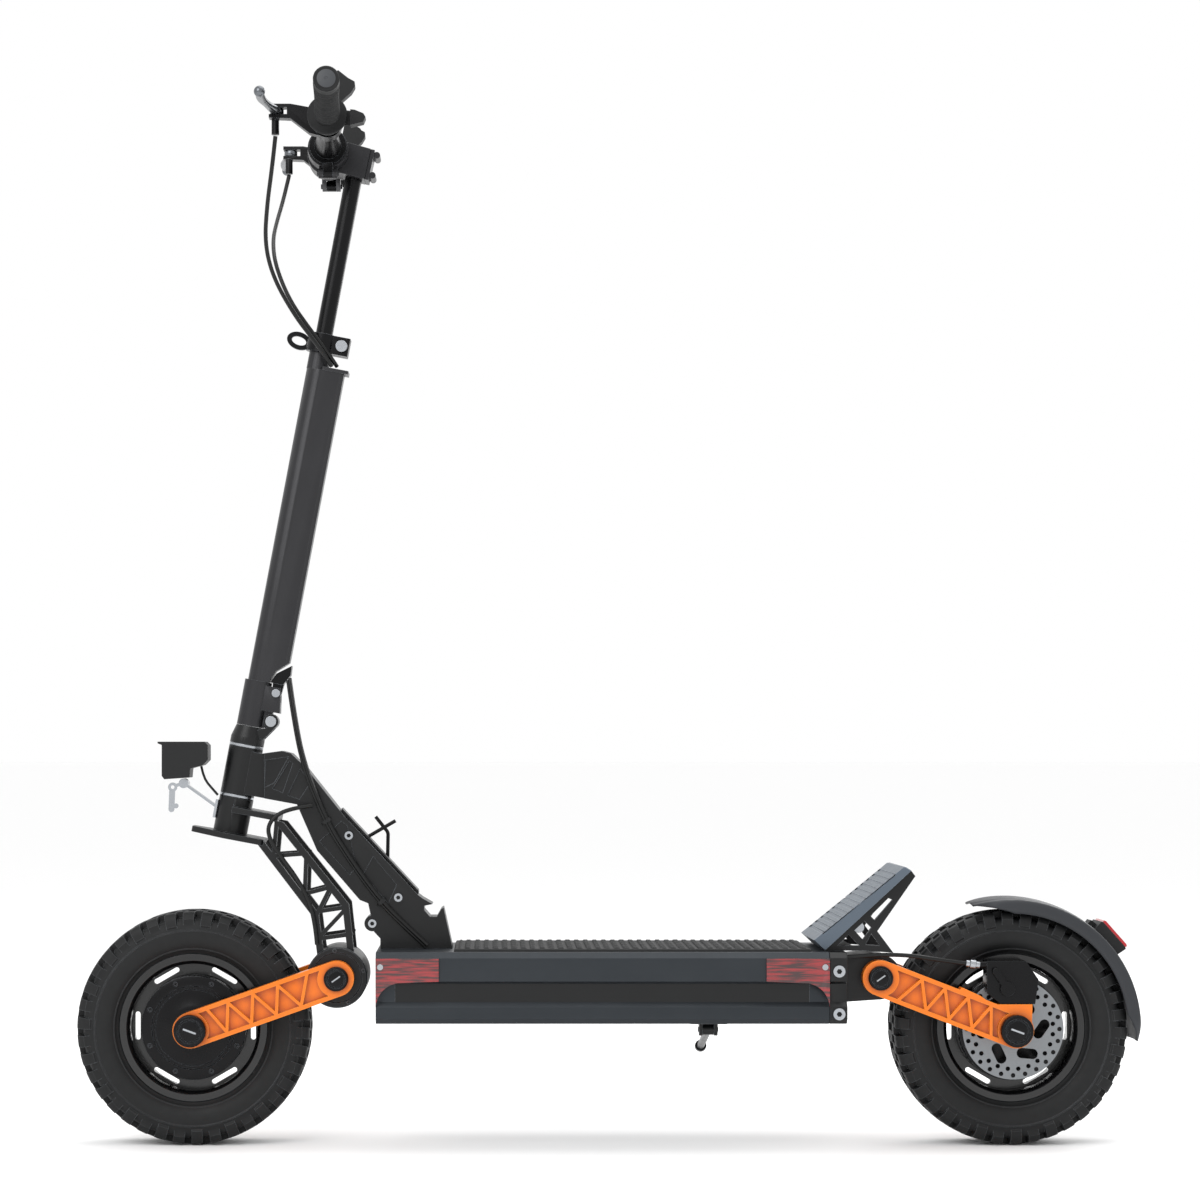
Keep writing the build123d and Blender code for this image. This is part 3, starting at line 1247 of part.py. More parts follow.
# ---------------------------------------------------------------- rear brake
caliper_points = [(446, 185), (462, CALIPER_SEAT), (503, CALIPER_SEAT), (507, 200), (492, 222), (446, 222)]
with BuildPart() as caliper_body:
    with BuildSketch(side_plane(CALIPER_INNER)):
        Polygon(*caliper_points, align=None)
    extrude(amount=CALIPER_OUTER - CALIPER_INNER)
    with BuildSketch(wheel_plane(REAR_AXLE_X, DISC_Y - 2)):
        Circle(DISC_RADIUS + 3)
    extrude(amount=DISC_THICKNESS + 4, mode=Mode.SUBTRACT)
    with BuildSketch(Plane.YZ.offset(434)):
        with Locations((-CABLE_END_Y, 217.5)):
            Circle(4)
    extrude(amount=14)
    with BuildSketch(side_plane(CALIPER_ARM_SEAT)):
        with Locations(CALIPER_PIVOT):
            Circle(5 + RUNNING_GAP)
    extrude(amount=CALIPER_OUTER - CALIPER_ARM_SEAT, mode=Mode.SUBTRACT)
save(caliper_body, "caliper_body")

with BuildPart() as caliper_arm:
    with BuildSketch(side_plane(CALIPER_ARM_SEAT + FREE_GAP)):
        with Locations(CALIPER_PIVOT):
            Circle(5)
    extrude(amount=CALIPER_OUTER - CALIPER_ARM_SEAT)
    with BuildSketch(side_plane(CALIPER_OUTER + FREE_GAP)):
        with Locations(CALIPER_PIVOT):
            Circle(8.5)
        strut(CALIPER_PIVOT, (456, 210), 8)
    extrude(amount=5)
save(caliper_arm, "caliper_arm")

# ---------------------------------------------------------------- rear fender and tail light
def sector_points(inner, outer, start, end):
    """Corner points of a ring sector around the origin, angles in degrees from the back upwards."""
    points = []
    for radius, angle in ((inner, start), (outer, start), (outer, end), (inner, end)):
        turn = math.radians(angle)
        points.append((radius * math.cos(turn), radius * math.sin(turn)))
    return points


fender_inner = WHEEL_RADIUS + FENDER_GAP
fender_outer = fender_inner + FENDER_THICKNESS
fender_layers = [
    (-FENDER_HALF_WIDTH, 2 * FENDER_HALF_WIDTH, fender_inner, fender_outer, FENDER_START, FENDER_END),
    (FENDER_HALF_WIDTH - 3, 3, fender_inner - FENDER_SKIRT, fender_outer, FENDER_START + 3, FENDER_END - 5),
    (-FENDER_HALF_WIDTH, 3, fender_inner - FENDER_SKIRT, fender_outer, FENDER_START + 3, FENDER_END - 5),
    (-STRUT_Y - STRUT_THICKNESS, STRUT_Y + STRUT_THICKNESS - FENDER_HALF_WIDTH + 2, fender_inner - 8,
     fender_outer, STRUT_ANGLE - 4, STRUT_ANGLE + 4),
]
with BuildPart() as fender:
    for face, width, inner, outer, start, end in fender_layers:
        corners = sector_points(inner, outer, start, end)
        with BuildSketch(wheel_plane(REAR_AXLE_X, face)):
            with BuildLine():
                Line(corners[0], corners[1])
                CenterArc((0, 0), outer, start, end - start)
                Line(corners[2], corners[3])
                CenterArc((0, 0), inner, start, end - start)
            make_face()
        extrude(amount=width)
    reach = math.radians(STRUT_ANGLE)
    with BuildSketch(wheel_plane(REAR_AXLE_X, -STRUT_Y - STRUT_THICKNESS)):
        strut((0, 0), (148 * math.cos(reach), 148 * math.sin(reach)), 16)
        Circle(AXLE_CAP_RADIUS + 7)
        Circle(AXLE_CAP_RADIUS + FREE_GAP, mode=Mode.SUBTRACT)
    extrude(amount=STRUT_THICKNESS)
save(fender, "fender")

with BuildPart() as tail_light:
    for start, end, inner, outer, half in (
        (LIGHT_START, LIGHT_END, fender_outer + SEAT_GAP, fender_outer + 13, 27),
        (LIGHT_START, LIGHT_END, fender_outer + 13.1, fender_outer + 16, 25),
    ):
        corners = sector_points(inner, outer, start, end)
        with BuildSketch(wheel_plane(REAR_AXLE_X, -half)):
            with BuildLine():
                Line(corners[0], corners[1])
                CenterArc((0, 0), outer, start, end - start)
                Line(corners[2], corners[3])
                CenterArc((0, 0), inner, start, end - start)
            make_face()
        extrude(amount=2 * half)
save(tail_light, "tail_light")

# ---------------------------------------------------------------- kickstand
with BuildPart() as kickstand_bracket:
    with BuildSketch(Plane.XY.offset(DECK_BOTTOM - 2.5)):
        with Locations((STAND_X, STAND_Y)):
            RectangleRounded(44, 26, 4)
    extrude(amount=2.5)
    for face in (STAND_X - STAND_EAR_END, STAND_X + STAND_EAR_START):
        with BuildSketch(Plane.YZ.offset(face)):
            with Locations((STAND_Y, STAND_Z)):
                Circle(STAND_BARREL_RADIUS)
                Circle(STAND_PIN_RADIUS, mode=Mode.SUBTRACT)
            with Locations((STAND_Y, (STAND_Z + DECK_BOTTOM) / 2)):
                Rectangle(2 * STAND_BARREL_RADIUS, DECK_BOTTOM - STAND_Z)
        extrude(amount=STAND_EAR_END - STAND_EAR_START)
    with BuildSketch(Plane.YZ.offset(STAND_X - STAND_EAR_END - 1)):
        with Locations((STAND_Y, STAND_Z)):
            Circle(STAND_PIN_RADIUS)
    extrude(amount=2 * STAND_EAR_END + 2)
save(kickstand_bracket, "kickstand_bracket")

droop = math.radians(STAND_DROOP)
stand_direction = Vector(0, math.cos(droop), -math.sin(droop))
stand_root = Vector(STAND_X, STAND_Y, STAND_Z)
with BuildPart() as kickstand:
    with BuildSketch(Plane.YZ.offset(STAND_X - STAND_EAR_START + FREE_GAP)):
        with Locations((STAND_Y, STAND_Z)):
            Circle(STAND_BARREL_RADIUS - 1)
    extrude(amount=2 * (STAND_EAR_START - FREE_GAP))
    with BuildSketch(Plane(origin=stand_root + stand_direction * 3, x_dir=(1, 0, 0), z_dir=stand_direction)):
        Circle(STAND_RADIUS)
    extrude(amount=STAND_LENGTH - 3)
    foot_start = stand_root + stand_direction * (STAND_LENGTH - 8)
    with BuildSketch(Plane(origin=foot_start, x_dir=(1, 0, 0), z_dir=stand_direction)):
        Circle(STAND_FOOT_RADIUS)
    extrude(amount=8)
    with BuildSketch(Plane.YZ.offset(STAND_X - STAND_EAR_END)):
        with Locations((STAND_Y, STAND_Z)):
            Circle(STAND_PIN_RADIUS + RUNNING_GAP)
    extrude(amount=2 * STAND_EAR_END, mode=Mode.SUBTRACT)
save(kickstand, "kickstand")

# ---------------------------------------------------------------- bolts
neck_bolts = [(-309, 369), (-250, 295), NECK_LUG]
with BuildPart() as chassis_bolts:
    for place in neck_bolts:
        half = NECK_HALF_WIDTH
        for face in (half, -half - 3.5):
            with BuildSketch(side_plane(face)):
                with Locations(place):
                    Circle(5)
                    RegularPolygon(2.6, 6, mode=Mode.SUBTRACT)
            extrude(amount=3.5)
    for place in ((DECK_FRONT + 5.5, 217), (DECK_REAR - 5.5, 217)):
        skin = DECK_HALF_WIDTH + REFLECTOR_THICKNESS
        for face in (skin, -skin - SCREW_HEAD):
            with BuildSketch(side_plane(face)):
                with Locations(place):
                    Circle(SCREW_RADIUS)
            extrude(amount=SCREW_HEAD)
    for place in ((DECK_REAR + 11, 212), (DECK_REAR + 11, 162)):
        for face in (DECK_HALF_WIDTH, -DECK_HALF_WIDTH - END_BOLT_HEAD):
            with BuildSketch(side_plane(face)):
                with Locations(place):
                    Circle(END_BOLT_RADIUS)
                    RegularPolygon(3.2, 6, mode=Mode.SUBTRACT)
            extrude(amount=END_BOLT_HEAD)
    with BuildSketch(side_plane(-CHEEK_INNER)):
        with Locations(KICK_SPACER):
            Circle(KICK_SPACER_RADIUS)
    extrude(amount=2 * CHEEK_INNER)
save(chassis_bolts, "chassis_bolts")

# ---------------------------------------------------------------- cables
neck_route = [
    (-381, -16.5, 556),
    (-375, -25, 515),
    (-363, -33.5, 455),
    (-336, -34, 386),
    (-303, -33.5, 334),
    (-270, -34, 290),
    (-240, -33, 260),
    (-216, -34, DECK_TOP + 3.8),
]
leg_route = [
    (-352, -42, 405),
    (-376, -47, 402),
    (-398, -50, 392),
    (-406, -49.8, 374),
    (-393, -50, 350),
    (-366, -48.6, 314),
    (-349, -48.4, 277),
    (-346, -48.2, 240),
]
lamp_route = [(-487, -6, 451.5), (-484, -8, 437), (-474, -8, 425), (-467, -7, 417)]
left_route = [
    (-390, -130, 1184.5),
    (-394, -122, 1152),
    (-402, -94, 1112),
    (-407, -64, 1070),
    (-398, -44, 1032),
    (-374, -34, 990),
    (-354, -31, 964),
    (-339, -26, 944),
    (-330, -16, 930.6),
]
right_route = [
    (-390, 130, 1184.5),
    (-396, 116, 1152),
    (-402, 78, 1118),
    (-404, 32, 1088),
    (-398, -8, 1052),
    (-380, -25, 1008),
    (-356, -25, 974),
    (-336, -22, 948),
    (-324, -8, 931),
]
brake_route = [
    (DECK_REAR + DECK_END_THICKNESS + 0.6, -70, 226),
    (306, -72, 229),
    (350, -71, 229.5),
    (394, -68, 222.5),
    (433.2, -CABLE_END_Y, 217.5),
]
for word, routes in (
    ("neck_cables", ((neck_route, BUNDLE_RADIUS),)),
    ("fork_cables", ((leg_route, CABLE_RADIUS), (lamp_route, CABLE_RADIUS - 1))),
    ("stem_cables", ((left_route, CABLE_RADIUS), (right_route, CABLE_RADIUS))),
    ("brake_cable", ((brake_route, CABLE_RADIUS),)),
):
    with BuildPart() as cable:
        for route, radius in routes:
            with BuildLine() as path:
                cable_path(route)
            first = Vector(*route[0])
            heading = Vector(*route[1]) - first
            with BuildSketch(Plane(origin=first, z_dir=heading)):
                Circle(radius)
            sweep(path=path.wires()[0])
            length = path.wires()[0].length
            print(word, "length", round(length), "volume by length", round(math.pi * radius**2 * length))
    print(word, "volume", round(cable.part.volume))
    save(cable, word)
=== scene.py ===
"""Electric kick scooter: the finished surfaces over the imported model's pieces.

Metres, with the front along -X, the rider's left along -Y and +Z up. Sizes written in millimetres go
through MM.
"""

import json
import math

import bmesh
import bpy
import numpy as np
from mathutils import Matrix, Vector


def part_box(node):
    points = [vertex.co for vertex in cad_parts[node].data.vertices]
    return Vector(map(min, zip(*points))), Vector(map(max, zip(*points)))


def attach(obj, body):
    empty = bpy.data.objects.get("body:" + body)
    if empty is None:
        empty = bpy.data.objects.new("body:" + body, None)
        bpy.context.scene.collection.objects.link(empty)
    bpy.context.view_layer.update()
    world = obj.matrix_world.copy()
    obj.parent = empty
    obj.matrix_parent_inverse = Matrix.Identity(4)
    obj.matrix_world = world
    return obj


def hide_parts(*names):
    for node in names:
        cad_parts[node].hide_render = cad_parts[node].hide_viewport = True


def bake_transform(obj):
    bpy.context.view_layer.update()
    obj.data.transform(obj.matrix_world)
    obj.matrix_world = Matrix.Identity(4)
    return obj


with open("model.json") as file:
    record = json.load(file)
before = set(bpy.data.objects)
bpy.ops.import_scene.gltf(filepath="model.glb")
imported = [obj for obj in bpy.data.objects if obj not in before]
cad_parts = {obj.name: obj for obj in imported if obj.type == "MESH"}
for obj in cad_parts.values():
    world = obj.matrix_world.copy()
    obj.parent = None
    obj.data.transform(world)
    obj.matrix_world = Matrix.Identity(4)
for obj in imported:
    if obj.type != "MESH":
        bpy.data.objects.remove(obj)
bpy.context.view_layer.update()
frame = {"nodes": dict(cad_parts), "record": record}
nodes = frame["nodes"]
body_of_node = {n: b for b, names in frame["record"]["behaviour"]["bodies"].items() for n in names}
slot_of_node = {part["node"]: part["material_slot"] for part in frame["record"]["subparts"]}

MM = 0.001
FRONT_AXLE = np.array((-494, 0, 140))
REAR_AXLE = np.array((480, 0, 140))
FRONT_PIVOT = np.array((-322, 0, 201))
REAR_PIVOT = np.array((320, 0, 202))
LEFT = np.array((0, -1, 0))
BAR_CENTRE = np.array((-335, 0, 1183))


# ---------------------------------------------------------------- materials
def linear(code):
    """Linear RGBA from an sRGB hex colour."""
    value = np.array([int(code[i : i + 2], 16) for i in (1, 3, 5)]) / 255
    value = np.where(value <= 0.04045, value / 12.92, ((value + 0.055) / 1.055) ** 2.4)
    return (*value.tolist(), 1.0)


def add(material, kind, sockets=None, **settings):
    """Add one shader node: settings are its properties, sockets its inputs' numbers or feeding outputs."""
    tree = material.node_tree
    new = tree.nodes.new("ShaderNode" + kind)
    for key, value in settings.items():
        setattr(new, key, value)
    for key, value in (sockets or {}).items():
        if isinstance(value, bpy.types.NodeSocket):
            tree.links.new(value, new.inputs[key])
        else:
            new.inputs[key].default_value = value
    return new


def blank(name):
    """An empty node material with its output, and the object coordinates that patterns read."""
    material = bpy.data.materials.new(name)
    material.use_nodes = True
    material.node_tree.nodes.clear()
    place = add(material, "TexCoord").outputs["Object"]
    return material, place


def close(material, shader):
    """Send the finished shader to the material's output."""
    add(material, "OutputMaterial", {"Surface": shader.outputs[0]})
    return material


def coated(
    name, colour, shade, roughness, grain, peel, edge=None, metallic=0.0, coat=0.0, rim=0.5, painted_hollow_shade=None
):
    """A painted, moulded or anodised finish.

    The colour drifts between two tones over some 40 mm, the roughness drifts over 9 mm, and the bump has
    the finish's own grain, given in millimetres. Edges take a painted highlight in the edge colour where the
    rounded normal leaves the flat one, and hollows can take painted shade in a deeper tone.
    """
    material, place = blank(name)
    cloud = add(material, "TexNoise", {"Vector": place, "Scale": 1 / 0.040, "Detail": 4})
    tone = add(
        material,
        "Mix",
        {"Factor": cloud.outputs["Fac"], "A": linear(colour), "B": linear(shade)},
        data_type="RGBA",
    )
    paint = tone.outputs["Result"]
    # Painted shade: where ambient occlusion finds surfaces within 10 mm, the colour darkens to the hollow
    # tone.
    if painted_hollow_shade:
        deep = add(material, "AmbientOcclusion", {"Distance": 0.010}, samples=6)
        hollow_shade_share = add(material, "MapRange", {"Value": deep.outputs["AO"], "From Min": 0.45, "From Max": 0.95})
        paint = add(
            material,
            "Mix",
            {"Factor": hollow_shade_share.outputs["Result"], "A": linear(painted_hollow_shade), "B": paint},
            data_type="RGBA",
        ).outputs["Result"]
    # Painted highlight: where the bevelled normal leaves the flat one, edges lighten to the edge colour,
    # broken up by noise.
    if edge:
        round_normal = add(material, "Bevel", {"Radius": rim * MM}, samples=4)
        flat = add(material, "NewGeometry")
        match = add(
            material,
            "VectorMath",
            {0: round_normal.outputs["Normal"], 1: flat.outputs["Normal"]},
            operation="DOT_PRODUCT",
        )
        edge_highlight_breakup = add(material, "TexNoise", {"Vector": place, "Scale": 1 / 0.006, "Detail": 3})
        limit = add(material, "MapRange", {"Value": edge_highlight_breakup.outputs["Fac"], "To Min": 0.93, "To Max": 0.80})
        edge_highlight_share = add(
            material,
            "MapRange",
            {"Value": match.outputs["Value"], "From Min": 0.99, "From Max": limit.outputs["Result"]},
        )
        paint = add(
            material,
            "Mix",
            {"Factor": edge_highlight_share.outputs["Result"], "A": paint, "B": linear(edge)},
            data_type="RGBA",
        ).outputs["Result"]
    patch = add(material, "TexNoise", {"Vector": place, "Scale": 1 / 0.009, "Detail": 5})
    dull = add(
        material,
        "MapRange",
        {"Value": patch.outputs["Fac"], "To Min": roughness * 0.82, "To Max": roughness * 1.18},
    )
    fine = add(material, "TexNoise", {"Vector": place, "Scale": 1 / (grain * MM), "Detail": 3})
    bump = add(
        material,
        "Bump",
        {"Height": fine.outputs["Fac"], "Strength": peel, "Distance": 0.3 * MM},
    )
    shader = add(
        material,
        "BsdfPrincipled",
        {
            "Base Color": paint,
            "Roughness": dull.outputs["Result"],
            "Normal": bump.outputs["Normal"],
            "Metallic": metallic,
            "Coat Weight": coat,
            "Coat Roughness": 0.12,
            "Specular IOR Level": 0.32,
        },
    )
    return close(material, shader)


# Powder-coated die-cast aluminium: satin black with orange peel, and a painted highlight along its edges.
cast_black = coated("powder_coated_casting", "#090A0B", "#0F1011", 0.36, 1.1, 0.25, edge="#5E6267", rim=0.9)
# Powder coat in orange, glossier, with shade gathering in the ribbed pockets.
orange_coat = coated(
    "orange_powder_coat", "#E87600", "#DF6C00", 0.38, 1.4, 0.22,
    edge="#F4952A", coat=0.3, rim=1.0, painted_hollow_shade="#B85200",
)
# Satin metallic paint on the extruded stem: dark grey with a soft sheen.
stem_paint = coated(
    "satin_metallic_paint", "#2B2B2D", "#313133", 0.34, 0.5, 0.10,
    edge="#5C5E61", metallic=0.45,
)
# Black anodised aluminium: even, fine and half glossy.
anodised = coated(
    "black_anodised_aluminium", "#0A0A0B", "#101012", 0.28, 0.35, 0.08,
    edge="#6A6E73", metallic=0.5,
)
# Blue-grey anodised extrusion of the deck.
deck_alloy = coated(
    "blue_grey_anodised_extrusion", "#2A2E32", "#303438", 0.42, 0.4, 0.12,
    edge="#5E656D", metallic=0.5,
)
# Bare machined and zinc-plated steel: bright with a little wear.
steel = coated("zinc_plated_steel", "#B4B7BB", "#9DA1A6", 0.27, 0.6, 0.10, metallic=1.0)
# Moulded ABS with a spark-eroded texture: matt, near black.
moulded = coated("textured_abs", "#0E0F10", "#131415", 0.52, 0.7, 0.35, edge="#393B3E")
# Vulcanised tyre rubber: deep matt black, with dusty tones.
tyre_rubber = coated("vulcanised_rubber", "#0A0B0C", "#121314", 0.58, 1.0, 0.30, edge="#55585B", rim=0.8)
# Soft grip rubber.
grip_rubber = coated("grip_rubber", "#0C0D0E", "#111213", 0.66, 0.5, 0.30, edge="#353638")
# PVC cable jacket: smooth and a little glossy.
jacket = coated("cable_jacket", "#080909", "#0D0E0E", 0.36, 0.8, 0.10)
# Glass-filled nylon of the fender: dark grey with a fine grain.
nylon = coated("glass_filled_nylon", "#2A2C2F", "#303236", 0.50, 0.6, 0.30, edge="#6A6D72")
# Printed shrink wrap round the cells, hidden inside the deck.
wrap = coated("shrink_wrap", "#1D3C66", "#24486F", 0.30, 4.0, 0.20)
# Plain cast aluminium of the controller's box.
raw_cast = coated("plain_cast_aluminium", "#8E9297", "#A0A4A8", 0.45, 1.2, 0.35, metallic=0.9)

# Vulcanised mat rubber: the deepest black, with painted shade between its studs.
mat_rubber = coated(
    "studded_mat_rubber", "#101112", "#1A1B1C", 0.66, 0.8, 0.30,
    edge="#3C3D3F", painted_hollow_shade="#050505",
)
# Bead-blasted and anodised plate of the foot rest: a lighter blue-grey.
plate_alloy = coated(
    "bead_blasted_plate", "#565F69", "#606A75", 0.40, 0.7, 0.22,
    edge="#98A3AF", metallic=0.6,
)
# Polycarbonate lens, tinted red all through.
red_lens = coated("red_polycarbonate", "#C2101C", "#A30B16", 0.18, 3.0, 0.25, coat=0.6)
# Plain moulded grey of the grips' end caps.
end_grey = coated("grey_end_cap", "#3B3D40", "#414346", 0.45, 0.6, 0.15)
# Polished and clear-anodised aluminium of the levers.
lever_alloy = coated("polished_lever_aluminium", "#5E6165", "#74777B", 0.24, 0.8, 0.08, metallic=0.9)
# Glossy black paint of the rims.
rim_paint = coated("gloss_black_rim", "#080809", "#0D0D0E", 0.20, 0.9, 0.10, edge="#505357", coat=0.4)


def prism_red():
    """Moulded reflector: red acrylic over 3 mm prisms, broken by dark flow lines some 4 mm apart."""
    material, place = blank("prismatic_red_acrylic")
    stretch = add(material, "Mapping", {"Vector": place, "Scale": (0.12, 1, 1.6)})
    lines = add(material, "TexNoise", {"Vector": stretch.outputs["Vector"], "Scale": 1 / 0.004, "Detail": 5})
    share = add(material, "MapRange", {"Value": lines.outputs["Fac"], "From Min": 0.42, "From Max": 0.60})
    paint = add(
        material,
        "Mix",
        {"Factor": share.outputs["Result"], "A": linear("#300306"), "B": linear("#8E0B14")},
        data_type="RGBA",
    )
    cells = add(material, "TexVoronoi", {"Vector": place, "Scale": 1 / 0.003}, feature="DISTANCE_TO_EDGE")
    bump = add(material, "Bump", {"Height": cells.outputs["Distance"], "Strength": 0.5, "Distance": 0.4 * MM})
    shader = add(
        material,
        "BsdfPrincipled",
        {
            "Base Color": paint.outputs["Result"],
            "Roughness": 0.28,
            "Normal": bump.outputs["Normal"],
            "Coat Weight": 0.8,
            "Coat Roughness": 0.08,
        },
    )
    return close(material, shader)


reflector_red = prism_red()


def turned_steel():
    """Ground disc steel: fine rings round the axle, about 0.5 mm apart, with a soft sheen."""
    material, place = blank("ground_disc_steel")
    centred = add(material, "Mapping", {"Vector": place, "Location": (-0.480, 0, -0.140)})
    flat = add(material, "VectorMath", {0: centred.outputs["Vector"], 1: (1, 0, 1)}, operation="MULTIPLY")
    reach = add(material, "VectorMath", {0: flat.outputs["Vector"]}, operation="LENGTH")
    ring_sockets = {"W": reach.outputs["Value"], "Scale": 1 / 0.0005, "Detail": 4}
    rings = add(material, "TexNoise", ring_sockets, noise_dimensions="1D")
    tone = add(
        material,
        "Mix",
        {"Factor": rings.outputs["Fac"], "A": linear("#6A6D70"), "B": linear("#94979A")},
        data_type="RGBA",
    )
    dull = add(material, "MapRange", {"Value": rings.outputs["Fac"], "To Min": 0.30, "To Max": 0.44})
    bump = add(material, "Bump", {"Height": rings.outputs["Fac"], "Strength": 0.25, "Distance": 0.1 * MM})
    shader = add(
        material,
        "BsdfPrincipled",
        {
            "Base Color": tone.outputs["Result"],
            "Metallic": 0.9,
            "Roughness": dull.outputs["Result"],
            "Normal": bump.outputs["Normal"],
        },
    )
    return close(material, shader)


disc_steel = turned_steel()


finish_of_slot = {
    "deck_alloy": deck_alloy,
    "mat_rubber": grip_rubber,
    "red_reflector": reflector_red,
    "bright_steel": steel,
    "cell_wrap": wrap,
    "bare_alloy": raw_cast,
    "black_cast": cast_black,
    "cable_black": jacket,
    "lamp_black": moulded,
    "stem_grey": stem_paint,
    "anodised_black": anodised,
    "grip_rubber": grip_rubber,
    "lever_silver": steel,
    "orange_paint": orange_coat,
    "tyre_rubber": tyre_rubber,
    "fender_plastic": nylon,
    "tail_red": moulded,
}


# ---------------------------------------------------------------- surfaces
def put_on(piece, body, finish, stands_for=()):
    """Give a finished piece its material and body, and hide the nodes that it stands for.

    A piece given no body, such as a cable's span between two bodies, has no body of its own.
    """
    piece.data.materials.clear()
    piece.data.materials.append(finish)
    if body:
        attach(piece, body)
    if stands_for:
        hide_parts(*stands_for)
    return piece


def new_piece(name, points, faces, sharp=35):
    """A mesh object from points in millimetres and index rows, smooth but for edges over the sharp angle."""
    mesh = bpy.data.meshes.new(name)
    mesh.from_pydata((np.asarray(points).reshape(-1, 3) * MM).tolist(), [], np.asarray(faces).tolist())
    mesh.shade_smooth()
    mesh.set_sharp_from_angle(angle=math.radians(sharp))
    piece = bpy.data.objects.new(name, mesh)
    bpy.context.collection.objects.link(piece)
    return piece


def grid_faces(rows, columns, wrap_rows=False, wrap_columns=False):
    """Quads between neighbouring grid points, row by row; a wrapped side joins its end to its start."""
    row_count = rows if wrap_rows else rows - 1
    column_count = columns if wrap_columns else columns - 1
    i, j = np.meshgrid(np.arange(row_count), np.arange(column_count))
    i, j = i.T.ravel(), j.T.ravel()
    i2, j2 = (i + 1) % rows, (j + 1) % columns
    return np.stack((i * columns + j, i * columns + j2, i2 * columns + j2, i2 * columns + j), 1)


def soft_copy(node, finish, width=0.8, angle=32, segments=2):
    """The node's own shape, rounded: doubles merged, flat triangles joined and edges bevelled."""
    source = nodes[node]
    piece = bpy.data.objects.new(node + "_skin", source.data.copy())
    bpy.context.collection.objects.link(piece)
    bm = bmesh.new()
    bm.from_mesh(piece.data)
    bmesh.ops.remove_doubles(bm, verts=bm.verts, dist=0.00002)
    bmesh.ops.dissolve_limit(
        bm, angle_limit=math.radians(1), verts=bm.verts, edges=bm.edges, use_dissolve_boundaries=False
    )
    bm.to_mesh(piece.data)
    bm.free()
    piece.data.shade_smooth()
    piece.data.set_sharp_from_angle(angle=math.radians(angle))
    bevel = piece.modifiers.new("rounded_edges", "BEVEL")
    bevel.width = width * MM
    bevel.segments = segments
    bevel.angle_limit = math.radians(angle)
    bevel.harden_normals = True
    bevel.use_clamp_overlap = True
    return put_on(piece, body_of_node[node], finish, (node,))


# ---------------------------------------------------------------- pieces that keep their own shape
for name, part in nodes.items():
    part.data.materials.clear()
    part.data.materials.append(finish_of_slot[slot_of_node[name]])


# ---------------------------------------------------------------- shapes worked out on grids
def outward(points, faces):
    """The faces, turned round if the closed shell's signed volume says that they point inwards."""
    p = np.asarray(points).reshape(-1, 3)
    a, b, c, d = (p[faces[:, k]] for k in range(4))
    volume = np.einsum("ij,ij->i", a, np.cross(b, c)).sum() + np.einsum("ij,ij->i", a, np.cross(c, d)).sum()
    return faces if volume > 0 else faces[:, ::-1]


def joined(*parts):
    """Several (points, faces) shells as one."""
    points, faces, start = [], [], 0
    for some_points, some_faces in parts:
        some_points = np.asarray(some_points, float).reshape(-1, 3)
        points.append(some_points)
        faces.append(some_faces + start)
        start += len(some_points)
    return np.concatenate(points), np.concatenate(faces)


def turned(profile, origin, axis, steps=64, up=(0, 0, 1)):
    """A closed shell turned on a lathe.

    The profile is rows of (radius, distance along the axis) whose ends lie on the axis or meet each other;
    each row is swept round the axis in equal steps.
    """
    profile = np.asarray(profile, float)
    axis = np.asarray(axis, float) / np.linalg.norm(axis)
    first = np.cross(up, axis)
    first /= np.linalg.norm(first)
    second = np.cross(axis, first)
    angle = np.linspace(0, 2 * np.pi, steps, endpoint=False)[:, None, None]
    radius, along = profile[None, :, 0, None], profile[None, :, 1, None]
    points = np.asarray(origin) + radius * (np.cos(angle) * first + np.sin(angle) * second) + along * axis
    faces = grid_faces(steps, len(profile), wrap_rows=True)
    return points.reshape(-1, 3), outward(points, faces)


def smooth_path(route, spacing=3.0):
    """Points every few millimetres along the quadratic B-spline of a route, from end to end."""
    route = np.asarray(route, float)
    corners = (route[:-1] + route[1:]) / 2
    starts, middles = np.concatenate((route[:1], corners[1:-1])), route[1:-1]
    ends = np.concatenate((corners[1:-1], route[-1:]))
    count = max(3, int(np.linalg.norm(np.diff(route, axis=0), axis=1).mean() / spacing))
    t = np.linspace(0, 1, count, endpoint=False)[None, :, None]
    curve = (1 - t) ** 2 * starts[:, None] + 2 * t * (1 - t) * middles[:, None] + t**2 * ends[:, None]
    return np.concatenate((curve.reshape(-1, 3), route[-1:]))


def tube(path, radius, sides=14, reference=(0, 1, 0)):
    """A round tube with closed ends along a path; the radius may change from point to point."""
    path = np.asarray(path, float)
    radius = np.broadcast_to(np.asarray(radius, float), len(path))
    along = np.gradient(path, axis=0)
    along /= np.linalg.norm(along, axis=1)[:, None]
    side = np.cross(along, reference)
    side /= np.linalg.norm(side, axis=1)[:, None]
    other = np.cross(along, side)
    angle = np.linspace(0, 2 * np.pi, sides, endpoint=False)[None, :, None]
    ring = np.cos(angle) * side[:, None] + np.sin(angle) * other[:, None]
    scale = np.concatenate(((0.001,), radius, (0.001,)))[:, None, None]
    rows = np.concatenate((path[:1], path, path[-1:]))[:, None]
    ring = np.concatenate((ring[:1], ring, ring[-1:]))
    points = rows + scale * ring
    faces = grid_faces(len(points), sides, wrap_columns=True)
    return points.reshape(-1, 3), outward(points, faces)


def slab(outline, near, far):
    """A flat piece: an outline of (x, z) between two distances to the left, closed by fans to its middle."""
    outline = np.asarray(outline, float)
    middle = outline.mean(0)
    rings = [np.tile(middle, (len(outline), 1)), outline, outline, np.tile(middle, (len(outline), 1))]
    depth = [near, near, far, far]
    points = np.stack([np.stack((r[:, 0], np.full(len(r), -d), r[:, 1]), 1) for r, d in zip(rings, depth)])
    faces = grid_faces(4, len(outline), wrap_columns=True)
    return points.reshape(-1, 3), outward(points, faces)


